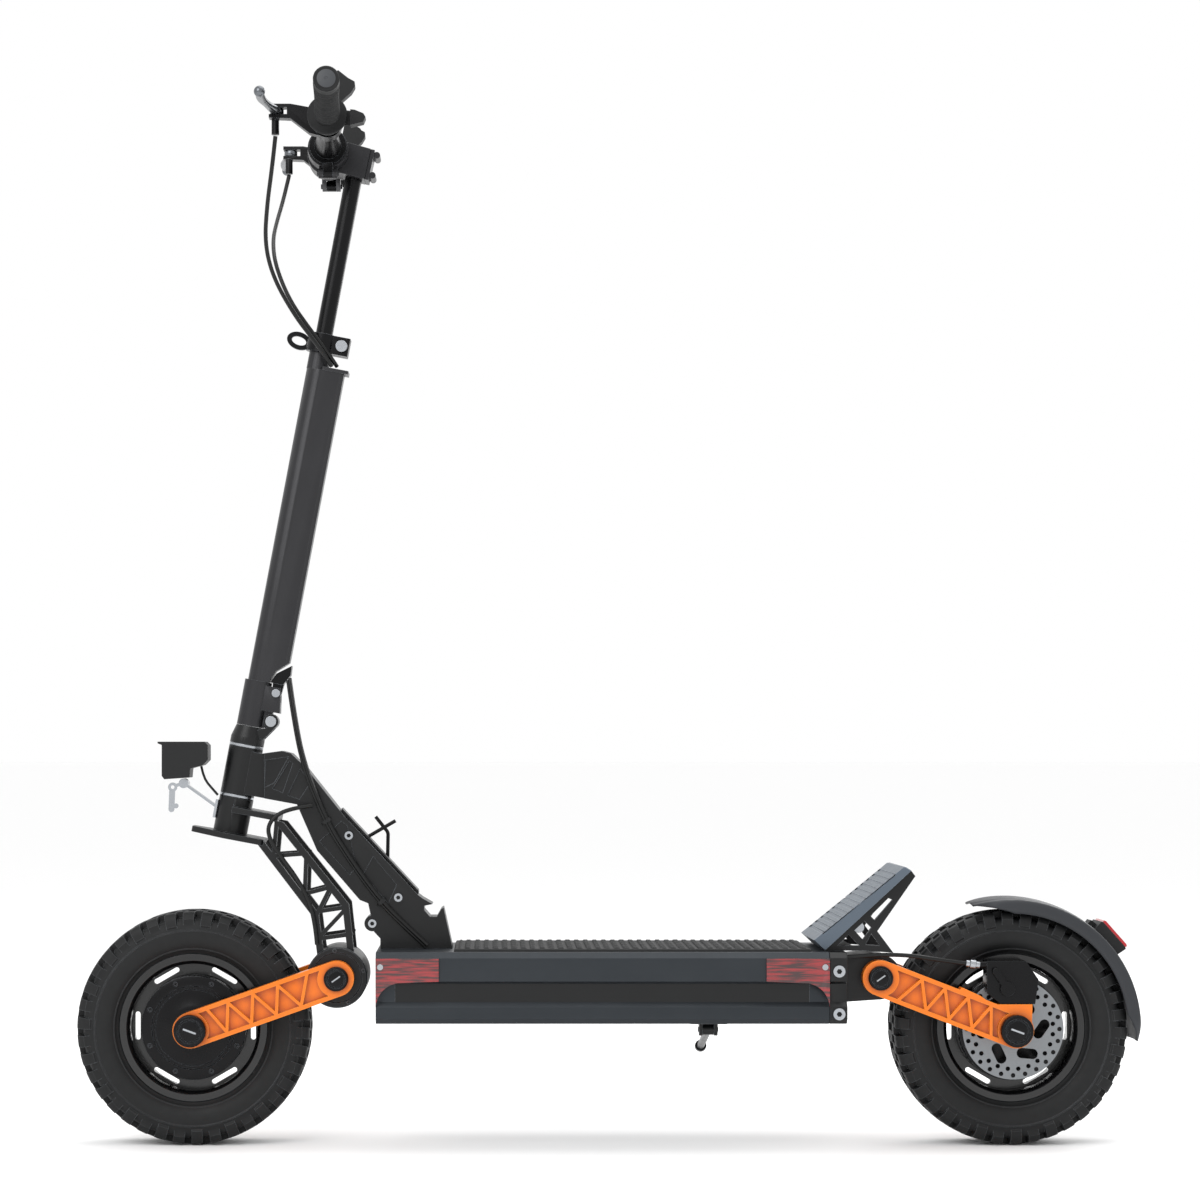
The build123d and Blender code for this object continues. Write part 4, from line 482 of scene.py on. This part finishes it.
# ---------------------------------------------------------------- tyres
def tyre(word, centre):
    """An off-road tyre as a carcass profile carried round the axle, with blocks raised over it.

    Each profile row holds the carcass point and the block's top above it, as (distance from the middle,
    radius), and which row of blocks it belongs to. A point is carcass + mask x (top - carcass), and the mask
    is 1 inside a block's share of the pitch. Centre and shoulder blocks stand in the middle of each pitch,
    the rows between them on its ends, and every other shoulder block reaches further down the side.
    """
    pitches = 38
    rows = np.array(
        (
            (0.0, 133.2, 0.0, 139.8, 0),
            (1.2, 133.2, 1.2, 139.8, 0),
            (1.7, 133.2, 1.7, 139.8, 1),
            (7.0, 133.1, 7.0, 139.8, 1),
            (12.4, 132.9, 12.4, 139.6, 1),
            (12.9, 132.9, 12.9, 139.6, 0),
            (15.2, 132.7, 15.2, 139.5, 0),
            (15.7, 132.7, 15.7, 139.5, 2),
            (21.0, 132.4, 21.0, 139.3, 2),
            (26.2, 132.0, 26.2, 139.0, 2),
            (26.7, 131.9, 26.7, 139.0, 0),
            (28.6, 131.6, 28.6, 138.8, 0),
            (29.1, 131.5, 29.1, 138.8, 3),
            (33.0, 130.9, 33.2, 138.5, 3),
            (36.4, 130.0, 37.2, 138.0, 3),
            (38.2, 129.0, 39.8, 136.4, 3),
            (39.6, 127.6, 41.6, 133.6, 3),
            (40.8, 125.6, 42.9, 130.0, 3),
            (41.6, 123.4, 43.4, 126.2, 4),
            (42.1, 121.4, 43.8, 122.6, 4),
            (42.4, 120.2, 42.4, 120.2, 0),
            (42.9, 118.0, 42.9, 118.0, 0),
            (43.9, 117.4, 43.9, 117.4, 0),
            (44.0, 116.2, 44.0, 116.2, 0),
            (43.3, 115.6, 43.3, 115.6, 0),
            (43.4, 111.0, 43.4, 111.0, 0),
            (43.0, 106.0, 43.0, 106.0, 0),
            (41.9, 101.5, 41.9, 101.5, 0),
            (40.0, 97.5, 40.0, 97.5, 0),
            (38.0, 95.0, 38.0, 95.0, 0),
            (37.8, 93.6, 37.8, 93.6, 0),
            (36.0, 92.4, 36.0, 92.4, 0),
            (34.0, 90.4, 34.0, 90.4, 0),
            (33.0, 88.8, 33.0, 88.8, 0),
            (30.2, 88.5, 30.2, 88.5, 0),
            (30.2, 84.3, 30.2, 84.3, 0),
        )
    )
    mirrored = rows[:0:-1] * np.array((-1, 1, -1, 1, 1))
    rows = np.concatenate((mirrored, rows))
    share = np.array((0, 0.09, 0.175, 0.20, 0.295, 0.32, 0.41, 0.5, 0.59, 0.68, 0.705, 0.80, 0.825, 0.91))
    pitch = np.arange(pitches)[:, None]
    turn = ((pitch + share[None, :]) / pitches * 2 * np.pi).ravel()
    middle_block = ((share > 0.19) & (share < 0.81)).astype(float)
    end_block = 1 - ((share > 0.30) & (share < 0.70)).astype(float)
    kind = rows[:, 4]
    mask = np.where(np.isin(kind, (1, 3, 4))[None, :], middle_block[:, None], 0)
    mask = np.where((kind == 2)[None, :], end_block[:, None], mask)
    mask = np.tile(mask, (pitches, 1))
    short = np.repeat(np.arange(pitches) % 2 == 1, len(share))
    mask = np.where(short[:, None] & (kind == 4)[None, :], 0, mask)
    across = rows[None, :, 0] + mask * (rows[None, :, 2] - rows[None, :, 0])
    radius = rows[None, :, 1] + mask * (rows[None, :, 3] - rows[None, :, 1])
    slant = np.abs(across) / 44 * math.radians(2.4)
    angle = turn[:, None] + slant
    points = np.stack(
        (centre[0] + radius * np.cos(angle), centre[1] - across, centre[2] + radius * np.sin(angle)), axis=-1
    )
    faces = outward(points, grid_faces(len(turn), len(rows), wrap_rows=True, wrap_columns=True))
    piece = new_piece(word + "_tyre_tread", points, faces, sharp=30)
    bevel = piece.modifiers.new("moulded_edges", "BEVEL")
    bevel.width, bevel.segments, bevel.limit_method = 0.5 * MM, 1, "ANGLE"
    bevel.angle_limit = math.radians(40)
    return put_on(piece, word + "_wheel", tyre_rubber, (word + "_tyre",))


for word, centre in (("front", FRONT_AXLE), ("rear", REAR_AXLE)):
    tyre(word, centre)


# ---------------------------------------------------------------- shafts, caps and motor covers
def cap(origin, axis, radius, height):
    """A turned cap: rounded rim, recessed ring and a raised centre disc."""
    r, h = radius, height
    return turned(
        (
            (0.01, 0),
            (r, 0),
            (r, h - 1.6),
            (r - 0.5, h - 0.6),
            (r - 1.5, h),
            (r * 0.78, h),
            (r * 0.74, h - 1.2),
            (r * 0.66, h - 1.2),
            (r * 0.62, h - 0.2),
            (r * 0.58, h),
            (0.01, h),
        ),
        origin,
        axis,
        steps=56,
    )


def shafts(word, pivot, axle):
    """The arm's pivot shaft and the wheel's stepped axle, with a cap at each end."""
    parts = [
        turned(((0.01, -76), (10, -76), (10, 76), (0.01, 76)), pivot, LEFT, 40),
        turned(
            (
                (0.01, -76),
                (8, -76),
                (8, -55.7),
                (11, -55.7),
                (11, -28.3),
                (8, -28.3),
                (8, -20),
                (50, -20),
                (50, 20),
                (8, 20),
                (8, 28.3),
                (11, 28.3),
                (11, 55.7),
                (8, 55.7),
                (8, 76),
                (0.01, 76),
            ),
            axle,
            LEFT,
            48,
        ),
    ]
    for side in (1, -1):
        parts.append(cap(pivot + side * 76.05 * LEFT, side * LEFT, 14.5, 5))
        parts.append(cap(axle + side * 76.05 * LEFT, side * LEFT, 19, 11))
    piece = new_piece(word + "_caps_and_axle", *joined(*parts))
    put_on(piece, word + "_arm", anodised, (word + "_shafts",))
    slots = []
    for place, height, reach in ((pivot, 5, 6.0), (axle, 11, 8.0)):
        for side in (1, -1):
            lift = place + side * (76.05 + height) * LEFT
            wide = np.array(((-1, -0.13), (1, -0.13), (1, 0.13), (-1, 0.13))) * reach
            lean = math.radians(35 if height == 5 else -20)
            spin = np.array(((math.cos(lean), math.sin(lean)), (-math.sin(lean), math.cos(lean))))
            outline = wide @ spin + lift[[0, 2]]
            slots.append(slab(outline, -lift[1] - side * 0.3, -lift[1] + side * 0.15))
    bright = new_piece(word + "_cap_slots", *joined(*slots))
    put_on(bright, word + "_arm", steel)


for word, pivot, axle in (("front", FRONT_PIVOT, FRONT_AXLE), ("rear", REAR_PIVOT, REAR_AXLE)):
    shafts(word, pivot, axle)


def motor_covers(word, centre):
    """Stepped covers on both sides of the hub motor, with a ring of cap screws round each."""
    profile = (
        (12, 20),
        (12, 38),
        (19, 38),
        (20, 37.4),
        (21.5, 36.0),
        (27, 35.9),
        (28, 35.4),
        (45, 34.6),
        (46, 33.4),
        (49, 33.4),
        (50, 34.6),
        (60.5, 34.9),
        (61.8, 34.3),
        (62.3, 33.0),
        (62.3, 28.0),
        (18, 28.0),
        (18, 20),
    )
    parts = []
    for side in (1, -1):
        shell = np.array(profile + profile[:1])
        parts.append(turned(shell, centre, side * LEFT, 96))
        for turn in np.radians(np.arange(8) * 45 + 22.5):
            place = centre + 56 * np.array((math.cos(turn), 0, math.sin(turn))) + side * 34.7 * LEFT
            parts.append(
                turned(
                    ((0.01, 0.3), (1.4, 0.3), (1.5, 1.7), (2.6, 1.7), (2.9, 1.3), (2.9, -0.5), (0.01, -0.5)),
                    place,
                    side * LEFT,
                    14,
                )
            )
    piece = new_piece(word + "_hub_covers", *joined(*parts))
    put_on(piece, word + "_wheel", anodised, (word + "_motor_covers",))


for word, centre in (("front", FRONT_AXLE), ("rear", REAR_AXLE)):
    motor_covers(word, centre)


# ---------------------------------------------------------------- torsion housings
def housing(pivot, radius):
    """The sprung pivot's round housing, with stepped ends and a screwed ring on each."""
    r = radius
    groove = ((r - 0.8, 47.6), (r - 0.8, 49.4))
    half = ((r, 0), (r, 47), *groove, (r, 50), (r, 53.4), (r - 1.2, 54.6), (r - 6, 54.7))
    ring = ((r - 7, 53.2), (10.2, 53.2), (10.2, 0))
    profile = np.array(half + ring)
    back = profile[::-1] * np.array((1, -1))
    shell = turned(np.concatenate((back[:-1], profile)), pivot, LEFT, 96)
    parts = [shell]
    for side in (1, -1):
        for turn in np.radians((-65, 15, 95, 175)):
            place = pivot + (r - 3.8) * np.array((math.cos(turn), 0, math.sin(turn))) + side * 54.5 * LEFT
            parts.append(turned(((0.01, 0), (2.2, 0), (1.9, 0.7), (0.01, 0.7)), place, side * LEFT, 12))
    return parts


front_housing = new_piece("front_spring_housing", *joined(*housing(FRONT_PIVOT, 36)))
put_on(front_housing, "fork", cast_black, ("front_torsion_housing",))


# ---------------------------------------------------------------- deck mat
def deck_mat():
    """A rubber sheet with rows of square studs.

    Height = sheet + stud x clamp(edge distance of a 9 mm square in each 14 mm by 11 mm cell), the rows
    staggered by half a cell; the rim slopes down to the deck.
    """
    low, high = (np.array(corner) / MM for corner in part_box("deck_mat"))
    x = np.linspace(low[0], high[0], 301)
    y = np.linspace(low[1], high[1], 151)
    gx, gy = np.meshgrid(x, y, indexing="ij")
    row = np.floor((gx - low[0]) / 11)
    u = np.abs((gx - low[0]) % 11 - 5.5)
    v = np.abs((gy - low[1] + 7 * (row % 2)) % 14 - 7)
    stud = np.clip((3.6 - u) / 0.9, 0, 1) * np.clip((4.8 - v) / 0.9, 0, 1)
    rim = np.minimum.reduce((gx - low[0], high[0] - gx, gy - low[1], high[1] - gy))
    inside = np.clip((rim - 5) / 2, 0, 1)
    edge = np.clip(rim / 1.5, 0, 1)
    top = low[2] + (2.6 + 0.6 * (1 - inside)) * edge + 1.9 * stud * inside
    points = np.stack((gx, gy, top), -1)
    faces = grid_faces(len(x), len(y))
    upward = np.cross(points[1, 0] - points[0, 0], points[0, 1] - points[0, 0])[2] > 0
    faces = faces if upward else faces[:, ::-1]
    piece = new_piece("studded_mat", points, faces, sharp=30)
    return put_on(piece, "chassis", mat_rubber, ("deck_mat",))


# ---------------------------------------------------------------- kick plate
def ridged_plate():
    """The sloping foot rest: a section with a ridge every 9 mm up the slope, carried across the deck."""
    low, high = np.array((241.0, 247.0)), np.array((348.0, 334.0))
    foot, end = np.array((254.0, 235.0)), np.array((356.0, 329.0))
    along = (high - low) / np.linalg.norm(high - low)
    out = np.array((-along[1], along[0]))
    length = np.linalg.norm(high - low)
    steps = np.arange(14, length - 12, 9.0)
    shape = ((-2.2, -0.1), (-1.6, -1.3), (1.6, -1.3), (2.2, -0.1))
    ridge = np.array([low + along * (s + a) + out * h for s in steps for a, h in shape])
    section = np.concatenate(([foot, low], ridge, [high - along * 2, high + (end - high) * 0.2, end]))
    y = np.array((-80.0, -79.0, 79.0, 80.0))
    inset = np.array((0.8, 0, 0, 0.8))
    middle = section.mean(0)
    points = [np.concatenate((middle, (-80.0,)))[None].repeat(len(section), 0)]
    for place, shrink in zip(y, inset):
        pulled = section + (middle - section) * shrink * 0.012
        points.append(np.concatenate((pulled, np.full((len(section), 1), place)), 1))
    points.append(np.concatenate((middle, (80.0,)))[None].repeat(len(section), 0))
    points = np.stack(points)[..., [0, 2, 1]]
    faces = outward(points, grid_faces(len(points), len(section), wrap_columns=True))
    piece = new_piece("ridged_foot_rest", points, faces, sharp=30)
    return put_on(piece, "chassis", plate_alloy, ("kick_plate",))


# ---------------------------------------------------------------- fender and tail light
def fender():
    """A thin crowned shell round the wheel, carried from the back of the wheel over its top.

    Across the shell the top is a shallow arch and the edges turn down into skirts. Both ends narrow to a
    blunt point. Its wall is given by Solidify.
    """
    turn = np.radians(np.linspace(-6, 107, 120))[:, None]
    across = np.linspace(-1, 1, 41)[None, :]
    share = np.linspace(0, 1, 120)[:, None]
    skirt = 15 * np.clip(share / 0.12, 0, 1) * np.clip((1 - share) / 0.16, 0, 1)
    side = np.clip((np.abs(across) - 0.80) / 0.20, 0, 1)
    bend = np.sin(side * np.pi / 2)
    front_taper = 0.38 * np.clip((0.10 - share) / 0.10, 0, 1) ** 2
    rear_taper = 0.42 * np.clip((share - 0.90) / 0.10, 0, 1) ** 2
    width = 51.5 * (1 - front_taper - rear_taper)
    flat = np.clip(np.abs(across), 0, 0.80) / 0.80 * 0.93 + 0.07 * bend
    y = np.sign(across) * width * flat
    crown = 2.6 * (1 - np.clip(np.abs(across) / 0.80, 0, 1) ** 2)
    radius = 151.8 + crown - skirt * (1 - np.cos(side * np.pi / 2))
    radius = radius - 1.2 * np.exp(-(((np.abs(across) - 0.62) / 0.03) ** 2)) + 0 * turn
    points = np.stack(
        (REAR_AXLE[0] + radius * np.cos(turn), y + 0 * turn, REAR_AXLE[2] + radius * np.sin(turn)), -1
    )
    faces = grid_faces(120, 41)
    piece = new_piece("rear_fender", points, faces, sharp=60)
    wall = piece.modifiers.new("wall", "SOLIDIFY")
    wall.thickness, wall.offset = 2.4 * MM, 0
    return put_on(piece, "rear_arm", nylon, ("fender",))


def fender_strut():
    """The stay from the right arm's end up to the fender, with its foot ring and a rib."""
    reach = math.radians(28)
    along = np.array((math.cos(reach), math.sin(reach)))
    square = np.array((-along[1], along[0]))
    centre = REAR_AXLE[[0, 2]]
    bar = np.array([centre + along * 25 + square * 8, centre + along * 148 + square * 8,
                    centre + along * 153, centre + along * 148 - square * 8,
                    centre + along * 25 - square * 8])
    hoop = turned(((20, 0), (26, 0), (26, 3), (20, 3), (20, 0)), REAR_AXLE + 76.1 * -LEFT, -LEFT, 48)
    plate = slab(bar, -79.1, -76.1)
    rib = slab(np.array([centre + along * 30 + square * 1.5, centre + along * 140 + square * 1.5,
                         centre + along * 140 - square * 1.5, centre + along * 30 - square * 1.5]), -81, -79)
    a0, a1 = math.radians(24), math.radians(32)
    corners = ((144, a0), (154, a0), (154, a1), (144, a1))
    top = np.array([centre + r * np.array((math.cos(t), math.sin(t))) for r, t in corners])
    foot = slab(top, -79.1, -48)
    piece = new_piece("fender_stay", *joined(hoop, plate, rib, foot))
    return put_on(piece, "rear_arm", nylon)


def tail_lamp():
    """The lamp's black housing and its red lens, each a block that follows the fender's arc."""
    def arc_block(inner, outer, start, end, half, soft):
        turn = (start, start, start + soft, end - soft, end, end, end - soft, start + soft)
        turn = np.radians(np.array(turn))
        rad = np.array((inner, outer - soft, outer, outer, outer - soft, inner, inner, inner))
        shape = REAR_AXLE[[0, 2]] + rad[:, None] * np.stack((np.cos(turn), np.sin(turn)), 1)
        return slab(shape, -half, half)

    body = arc_block(155.1, 168, 34, 49, 27, 0.8)
    foot = arc_block(155.1, 162, 48.5, 52, 12, 0.5)
    shell = new_piece("tail_lamp_housing", *joined(body, foot))
    put_on(shell, "rear_arm", moulded, ("tail_light",))
    lens = new_piece("tail_lamp_lens", *arc_block(168.05, 171.3, 34.6, 48.4, 25, 0.8))
    put_on(lens, "rear_arm", red_lens)


# ---------------------------------------------------------------- grips and brake levers
def bar_point(side, distance):
    """The point on a handlebar's axis, and the direction away from the middle; side is -1 on the left."""
    direction = np.array((13.0, side * 310.0, 32.0))
    direction /= np.linalg.norm(direction)
    return BAR_CENTRE + direction * distance, direction


def grip(side, word):
    """A turned rubber grip: inner flange, ribbed barrel with shallow waists, and a rounded end."""
    start, direction = bar_point(side, 172)
    s = np.linspace(5, 132, 170)
    rib = 0.45 * np.clip(np.sin(s / 4.2 * 2 * np.pi) * 2, -1, 1)
    waist = 0.45 * np.cos((s - 5) / 127 * 2 * np.pi)
    barrel = 14.1 + waist + rib * np.clip((s - 8) / 4, 0, 1) * np.clip((126 - s) / 4, 0, 1)
    profile = [(11.06, 0), (22.3, 0), (23.3, 1.0), (23.3, 3.0), (22.3, 4.0), (16.5, 4.2)]
    profile += list(zip(barrel, s))
    profile += [(14.4, 134), (14.8, 134.5), (14.8, 138.2), (13.6, 139.6), (0.01, 139.6)]
    profile += [(0.01, 136), (11.06, 136), (11.06, 0)]
    piece = new_piece(word + "_grip_rubber", *turned(profile, start, direction, 56), sharp=40)
    put_on(piece, word + "_bar", grip_rubber, ("grip_" + word,))
    end, direction = bar_point(side, 172 + 139.6)
    profile = ((0.01, -0.5), (10.5, -0.5), (10.5, 0.2), (9.8, 0.5), (2.0, 0.5), (1.8, 0.1), (0.01, 0.1))
    disc = turned(profile, end, direction, 48)
    cap_end = new_piece(word + "_grip_end", *disc)
    put_on(cap_end, word + "_bar", end_grey)


def brake_lever(side, word):
    """A forged lever: a section that narrows and flattens along a curved line, ending in a ball."""
    y0 = side * 134
    line = np.array(
        (
            (-388, y0 - side * 2, 1212),
            (-390, y0 + side * 14, 1212),
            (-396, y0 + side * 44, 1212),
            (-402, y0 + side * 80, 1212),
            (-400, y0 + side * 114, 1212),
        )
    )
    path = smooth_path(line, 2.0)
    share = np.linspace(0, 1, len(path))
    along = np.gradient(path, axis=0)
    along /= np.linalg.norm(along, axis=1)[:, None]
    up = np.array((0.0, 0.0, 1.0))
    flat = np.cross(along, up)
    turn = np.linspace(0, 2 * np.pi, 20, endpoint=False)
    wide = (6.6 - 2.2 * share + 0.6 * np.sin(share * 9))[:, None, None]
    tall = (3.5 - 0.5 * share)[:, None, None]
    level = (np.sign(np.cos(turn)) * np.abs(np.cos(turn)) ** 0.7)[None, :, None]
    upright = (np.sign(np.sin(turn)) * np.abs(np.sin(turn)) ** 0.7)[None, :, None]
    ring = wide * level * flat[:, None] + tall * upright * up
    points = path[:, None] + ring
    points = np.concatenate((path[:1, None] + 0 * ring[:1], points, path[-1:, None] + 0 * ring[:1]))
    blade = (points.reshape(-1, 3), outward(points, grid_faces(len(points), 20, wrap_columns=True)))
    t = np.linspace(0, np.pi, 17)
    round_profile = np.stack((6.4 * np.sin(t) + 0.01, -6.4 * np.cos(t)), 1)
    ball = turned(round_profile, (-400, y0 + side * 118, 1212), (0, 0, 1), 28, up=(1, 0, 0))
    eye_profile = ((2.6, -3.5), (7.4, -3.5), (8, -2.8), (8, 2.8), (7.4, 3.5), (2.6, 3.5), (2.6, -3.5))
    eye = turned(eye_profile, (-388, y0, 1212), (0, 0, 1), 36, up=(1, 0, 0))
    piece = new_piece(word + "_lever_blade", *joined(blade, ball, eye), sharp=50)
    put_on(piece, word + "_lever", lever_alloy, ("brake_lever_" + word,))


# ---------------------------------------------------------------- cables
def cable(name, route, radius, spans, replaces=(), spacing=4.0, sides=16):
    """One cable as round tubes along its route's smooth curve, cut at the end of each span.

    Each span is the point where it ends, or None for the route's end, and then either the body that it
    rides or the two bodies that it bends between, with the points where the bend starts and ends; the two
    bodies and the points are not used, and such a span is left without a body.
    """
    path = smooth_path(route, spacing)
    first = 0
    for number, (cut, hold) in enumerate(spans):
        last = len(path) - 1 if cut is None else int(np.argmin(np.linalg.norm(path - np.array(cut), axis=1)))
        piece = new_piece(f"{name}_{number}", *tube(path[first : last + 1], radius, sides), sharp=70)
        rides = hold if isinstance(hold, str) else None
        put_on(piece, rides, jacket, replaces if number == 0 else ())
        if rides is None:
            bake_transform(piece)
        first = last


def caliper_barrel():
    """The adjuster where the cable enters the caliper, turned as a barrel with one wider band; its knurling,
    lock ring and two side bolts are not modelled.
    """
    profile = ((0, 0), (4.2, 0), (4.2, 4), (5.6, 4.8), (5.6, 11), (4.2, 11.8), (4.2, 16), (0, 16))
    barrel = turned(profile, np.array((422, -67.2, 219.0)), np.array((1, 0, -0.12)), 24)
    piece = new_piece("caliper_adjuster", *barrel, sharp=30)
    put_on(piece, "rear_arm", steel)


def neck_ties():
    """Two nylon ties, each a flat band round the cable bundle, square to the way the bundle runs."""
    places = (((-336, -34, 386), (48, 0, -68)), ((-270, -34, 290), (32, 0, -37)))
    for number, (spot, way) in enumerate(places):
        band = ((5.0, -2), (6.4, -2), (6.4, 2), (5.0, 2), (5.0, -2))
        tie = new_piece(f"neck_tie_{number}", *turned(band, np.array(spot), np.array(way), 32), sharp=40)
        put_on(tie, "chassis", moulded)


def recess_shade_strips():
    """A black strip on each side lies on the floor of the deck's long recess, 0.6 mm thick: painted shade
    that makes the recess read black.
    """
    outline = [(-252, 171), (234, 171), (234, 199), (-252, 199)]
    for word, near, far in (("left", -99.5, -98.9), ("right", 98.9, 99.5)):
        strip = new_piece(word + "_recess_shade_strip", *slab(outline, near, far), sharp=40)
        put_on(strip, "chassis", cast_black)


neck_ties()
caliper_barrel()
recess_shade_strips()
deck_mat()
ridged_plate()
fender()
fender_strut()
tail_lamp()
for side, word in ((-1, "left"), (1, "right")):
    grip(side, word)
    brake_lever(side, word)

neck_run = [(-381, -16.5, 556), (-375, -25, 515), (-363, -33.5, 455), (-336, -34, 386), (-303, -33.5, 334),
            (-270, -34, 290), (-240, -33, 260), (-216, -34, 237.8)]
# Three cables lie side by side in the bundle, each a little off its middle line.
for number, (across, lift, radius) in enumerate(((-1.9, -1.2, 2.0), (1.9, -1.2, 2.0), (0.0, 1.9, 1.9))):
    run = np.array(neck_run) + across * np.array((0.7, 0.5, 0.7)) + lift * np.array((0.3, -0.9, 0.2))
    run[:, 1] += 1.2 * np.sin(np.arange(len(run)) * 1.9 + number)
    cable(
        f"neck_cable_{number}",
        run,
        radius,
        (
            ((run[1] + run[2]) / 2, ("fork", "stem", (-372, -27, 500), (-380, -18, 550))),
            (None, ("chassis", "fork", (-355, -34, 435), (-369, -29, 484))),
        ),
        ("neck_cables",),
    )

left_run = [(-390, -130, 1184.5), (-394, -122, 1152), (-402, -94, 1112), (-407, -64, 1070), (-398, -44, 1032),
            (-374, -34, 990), (-354, -31, 964), (-339, -26, 944), (-330, -16, 930.6)]
right_run = [(-390, 130, 1184.5), (-396, 116, 1152), (-402, 78, 1118), (-404, 32, 1088), (-398, -8, 1052),
             (-380, -25, 1008), (-356, -25, 974), (-336, -22, 948), (-324, -8, 931)]
brake_run = [(278.6, -70, 226), (306, -72, 229), (350, -71, 229.5), (394, -68, 222.5), (433.2, -67, 217.5)]
leg_run = [(-352, -42, 405), (-376, -47, 402), (-398, -50, 392), (-406, -49.8, 374), (-393, -50, 350),
           (-366, -48.6, 314), (-349, -48.4, 277), (-346, -48.2, 240)]
lamp_run = [(-487, -6, 451.5), (-484, -8, 437), (-474, -8, 425), (-467, -7, 417)]
for side, route, replaces in (("left", left_run, ("stem_cables",)), ("right", right_run, ())):
    across = route[0][1]
    crossing = route[2]
    cable(
        side + "_brake_hose",
        route,
        2.5,
        (
            (crossing, ("bar", side + "_bar", (-400, across * 0.7, 1115), (-392, across, 1180))),
            (None, ("stem", "bar", (-334, 0, 935), (-334, 0, 1100))),
        ),
        replaces,
    )
cable(
    "caliper_cable",
    brake_run,
    2.5,
    ((None, ("chassis", "rear_arm", (285, -70, 226), (420, -67, 218))),),
    ("brake_cable",),
)
cable(
    "front_motor_cable",
    leg_run,
    2.5,
    ((None, ("chassis", "fork", (-352, -42, 405), (-398, -50, 392))),),
    ("fork_cables",),
)
cable("lamp_cable", lamp_run, 1.5, ((None, "fork"),))

for name, finish, width in (
    ("neck_frame", cast_black, 1.2),
    ("neck_cover", cast_black, 0.8),
    ("kick_bracket", cast_black, 0.9),
    ("fork_crown", cast_black, 0.9),
    ("fork_trusses", cast_black, 0.9),
    ("rear_torsion_housing", cast_black, 1.2),
    ("kickstand_bracket", cast_black, 0.5),
    ("kickstand", cast_black, 0.5),
    ("fold_base", cast_black, 0.8),
    ("stem_tube", stem_paint, 1.0),
    ("latch_lever", anodised, 1.0),
    ("clamp_lever", anodised, 1.0),
    ("clamp_collar", anodised, 0.8),
    ("bar_clamp", stem_paint, 1.0),
    ("cross_bar", stem_paint, 0.8),
    ("handlebar_left", anodised, 0.5),
    ("handlebar_right", anodised, 0.5),
    ("lever_perch_left", anodised, 0.8),
    ("lever_perch_right", anodised, 0.8),
    ("control_pod", moulded, 1.6),
    ("display_pod", moulded, 1.6),
    ("thumb_paddle", moulded, 1.2),
    ("power_button", moulded, 0.5),
    ("front_swing_arms", orange_coat, 1.0),
    ("rear_swing_arms", orange_coat, 1.0),
    ("caliper_body", anodised, 1.2),
    ("caliper_arm", anodised, 0.8),
    ("deck_shell", deck_alloy, 0.8),
    ("headlight", moulded, 1.2),
    ("headlight_bracket", steel, 0.4),
    ("bag_hook", anodised, 0.2),
    ("side_reflectors", reflector_red, 0.4),
    ("front_rim", rim_paint, 0.6),
    ("rear_rim", rim_paint, 0.6),
    ("brake_disc", disc_steel, 0.25),
    ("headset_rings", steel, 0.4),
    ("stem_bolts", steel, 0.4),
    ("chassis_bolts", steel, 0.4),
    ("inner_tube", anodised, 0.3),
):
    soft_copy(name, finish, width)


# ---------------------------------------------------------------- floor, light and camera
def stage_set():
    """A plain pale floor, a broad overhead light with two side panels, and the camera at the left side."""
    floor_finish = blank("pale_floor")[0]
    matt_white = {"Base Color": linear("#FDFDFD"), "Roughness": 0.9}
    close(floor_finish, add(floor_finish, "BsdfPrincipled", matt_white))
    side = 120.0
    corners = np.array(((-1, -1, 0), (1, -1, 0), (1, 1, 0), (-1, 1, 0)))
    floor = new_piece("floor", corners * side / MM, [(0, 1, 2, 3)])
    floor.data.materials.append(floor_finish)
    world = bpy.data.worlds.new("studio")
    bpy.context.scene.world = world
    world.use_nodes = True
    world.node_tree.nodes["Background"].inputs["Color"].default_value = linear("#FFFFFF")
    world.node_tree.nodes["Background"].inputs["Strength"].default_value = 1.0
    for name, spot, aim, size, power in (
        ("key_panel", (-1.6, -2.6, 2.6), (0, 0, 0.5), 2.2, 50),
        ("top_panel", (0.4, 0.3, 3.4), (0, 0, 0.3), 2.6, 40),
        ("back_panel", (1.8, 2.4, 1.8), (0, 0, 0.5), 1.8, 30),
    ):
        lamp = bpy.data.lights.new(name, "AREA")
        lamp.size, lamp.energy = size, power
        holder = bpy.data.objects.new(name, lamp)
        holder.location = spot
        holder.rotation_euler = (Vector(aim) - Vector(spot)).to_track_quat("-Z", "Y").to_euler()
        bpy.context.collection.objects.link(holder)
    lens = bpy.data.cameras.new("camera")
    lens.sensor_width = 36
    lens.lens = 18 / math.tan(math.radians(20.8 / 2))
    lens.shift_x, lens.shift_y = 0.092, 0.125
    camera = bpy.data.objects.new("camera", lens)
    camera.location = (-0.141, -3.930, 0.471)
    camera.rotation_euler = (math.radians(90), 0, 0)
    bpy.context.collection.objects.link(camera)
    bpy.context.scene.camera = camera
    bpy.context.scene.view_settings.view_transform = "Standard"


stage_set()
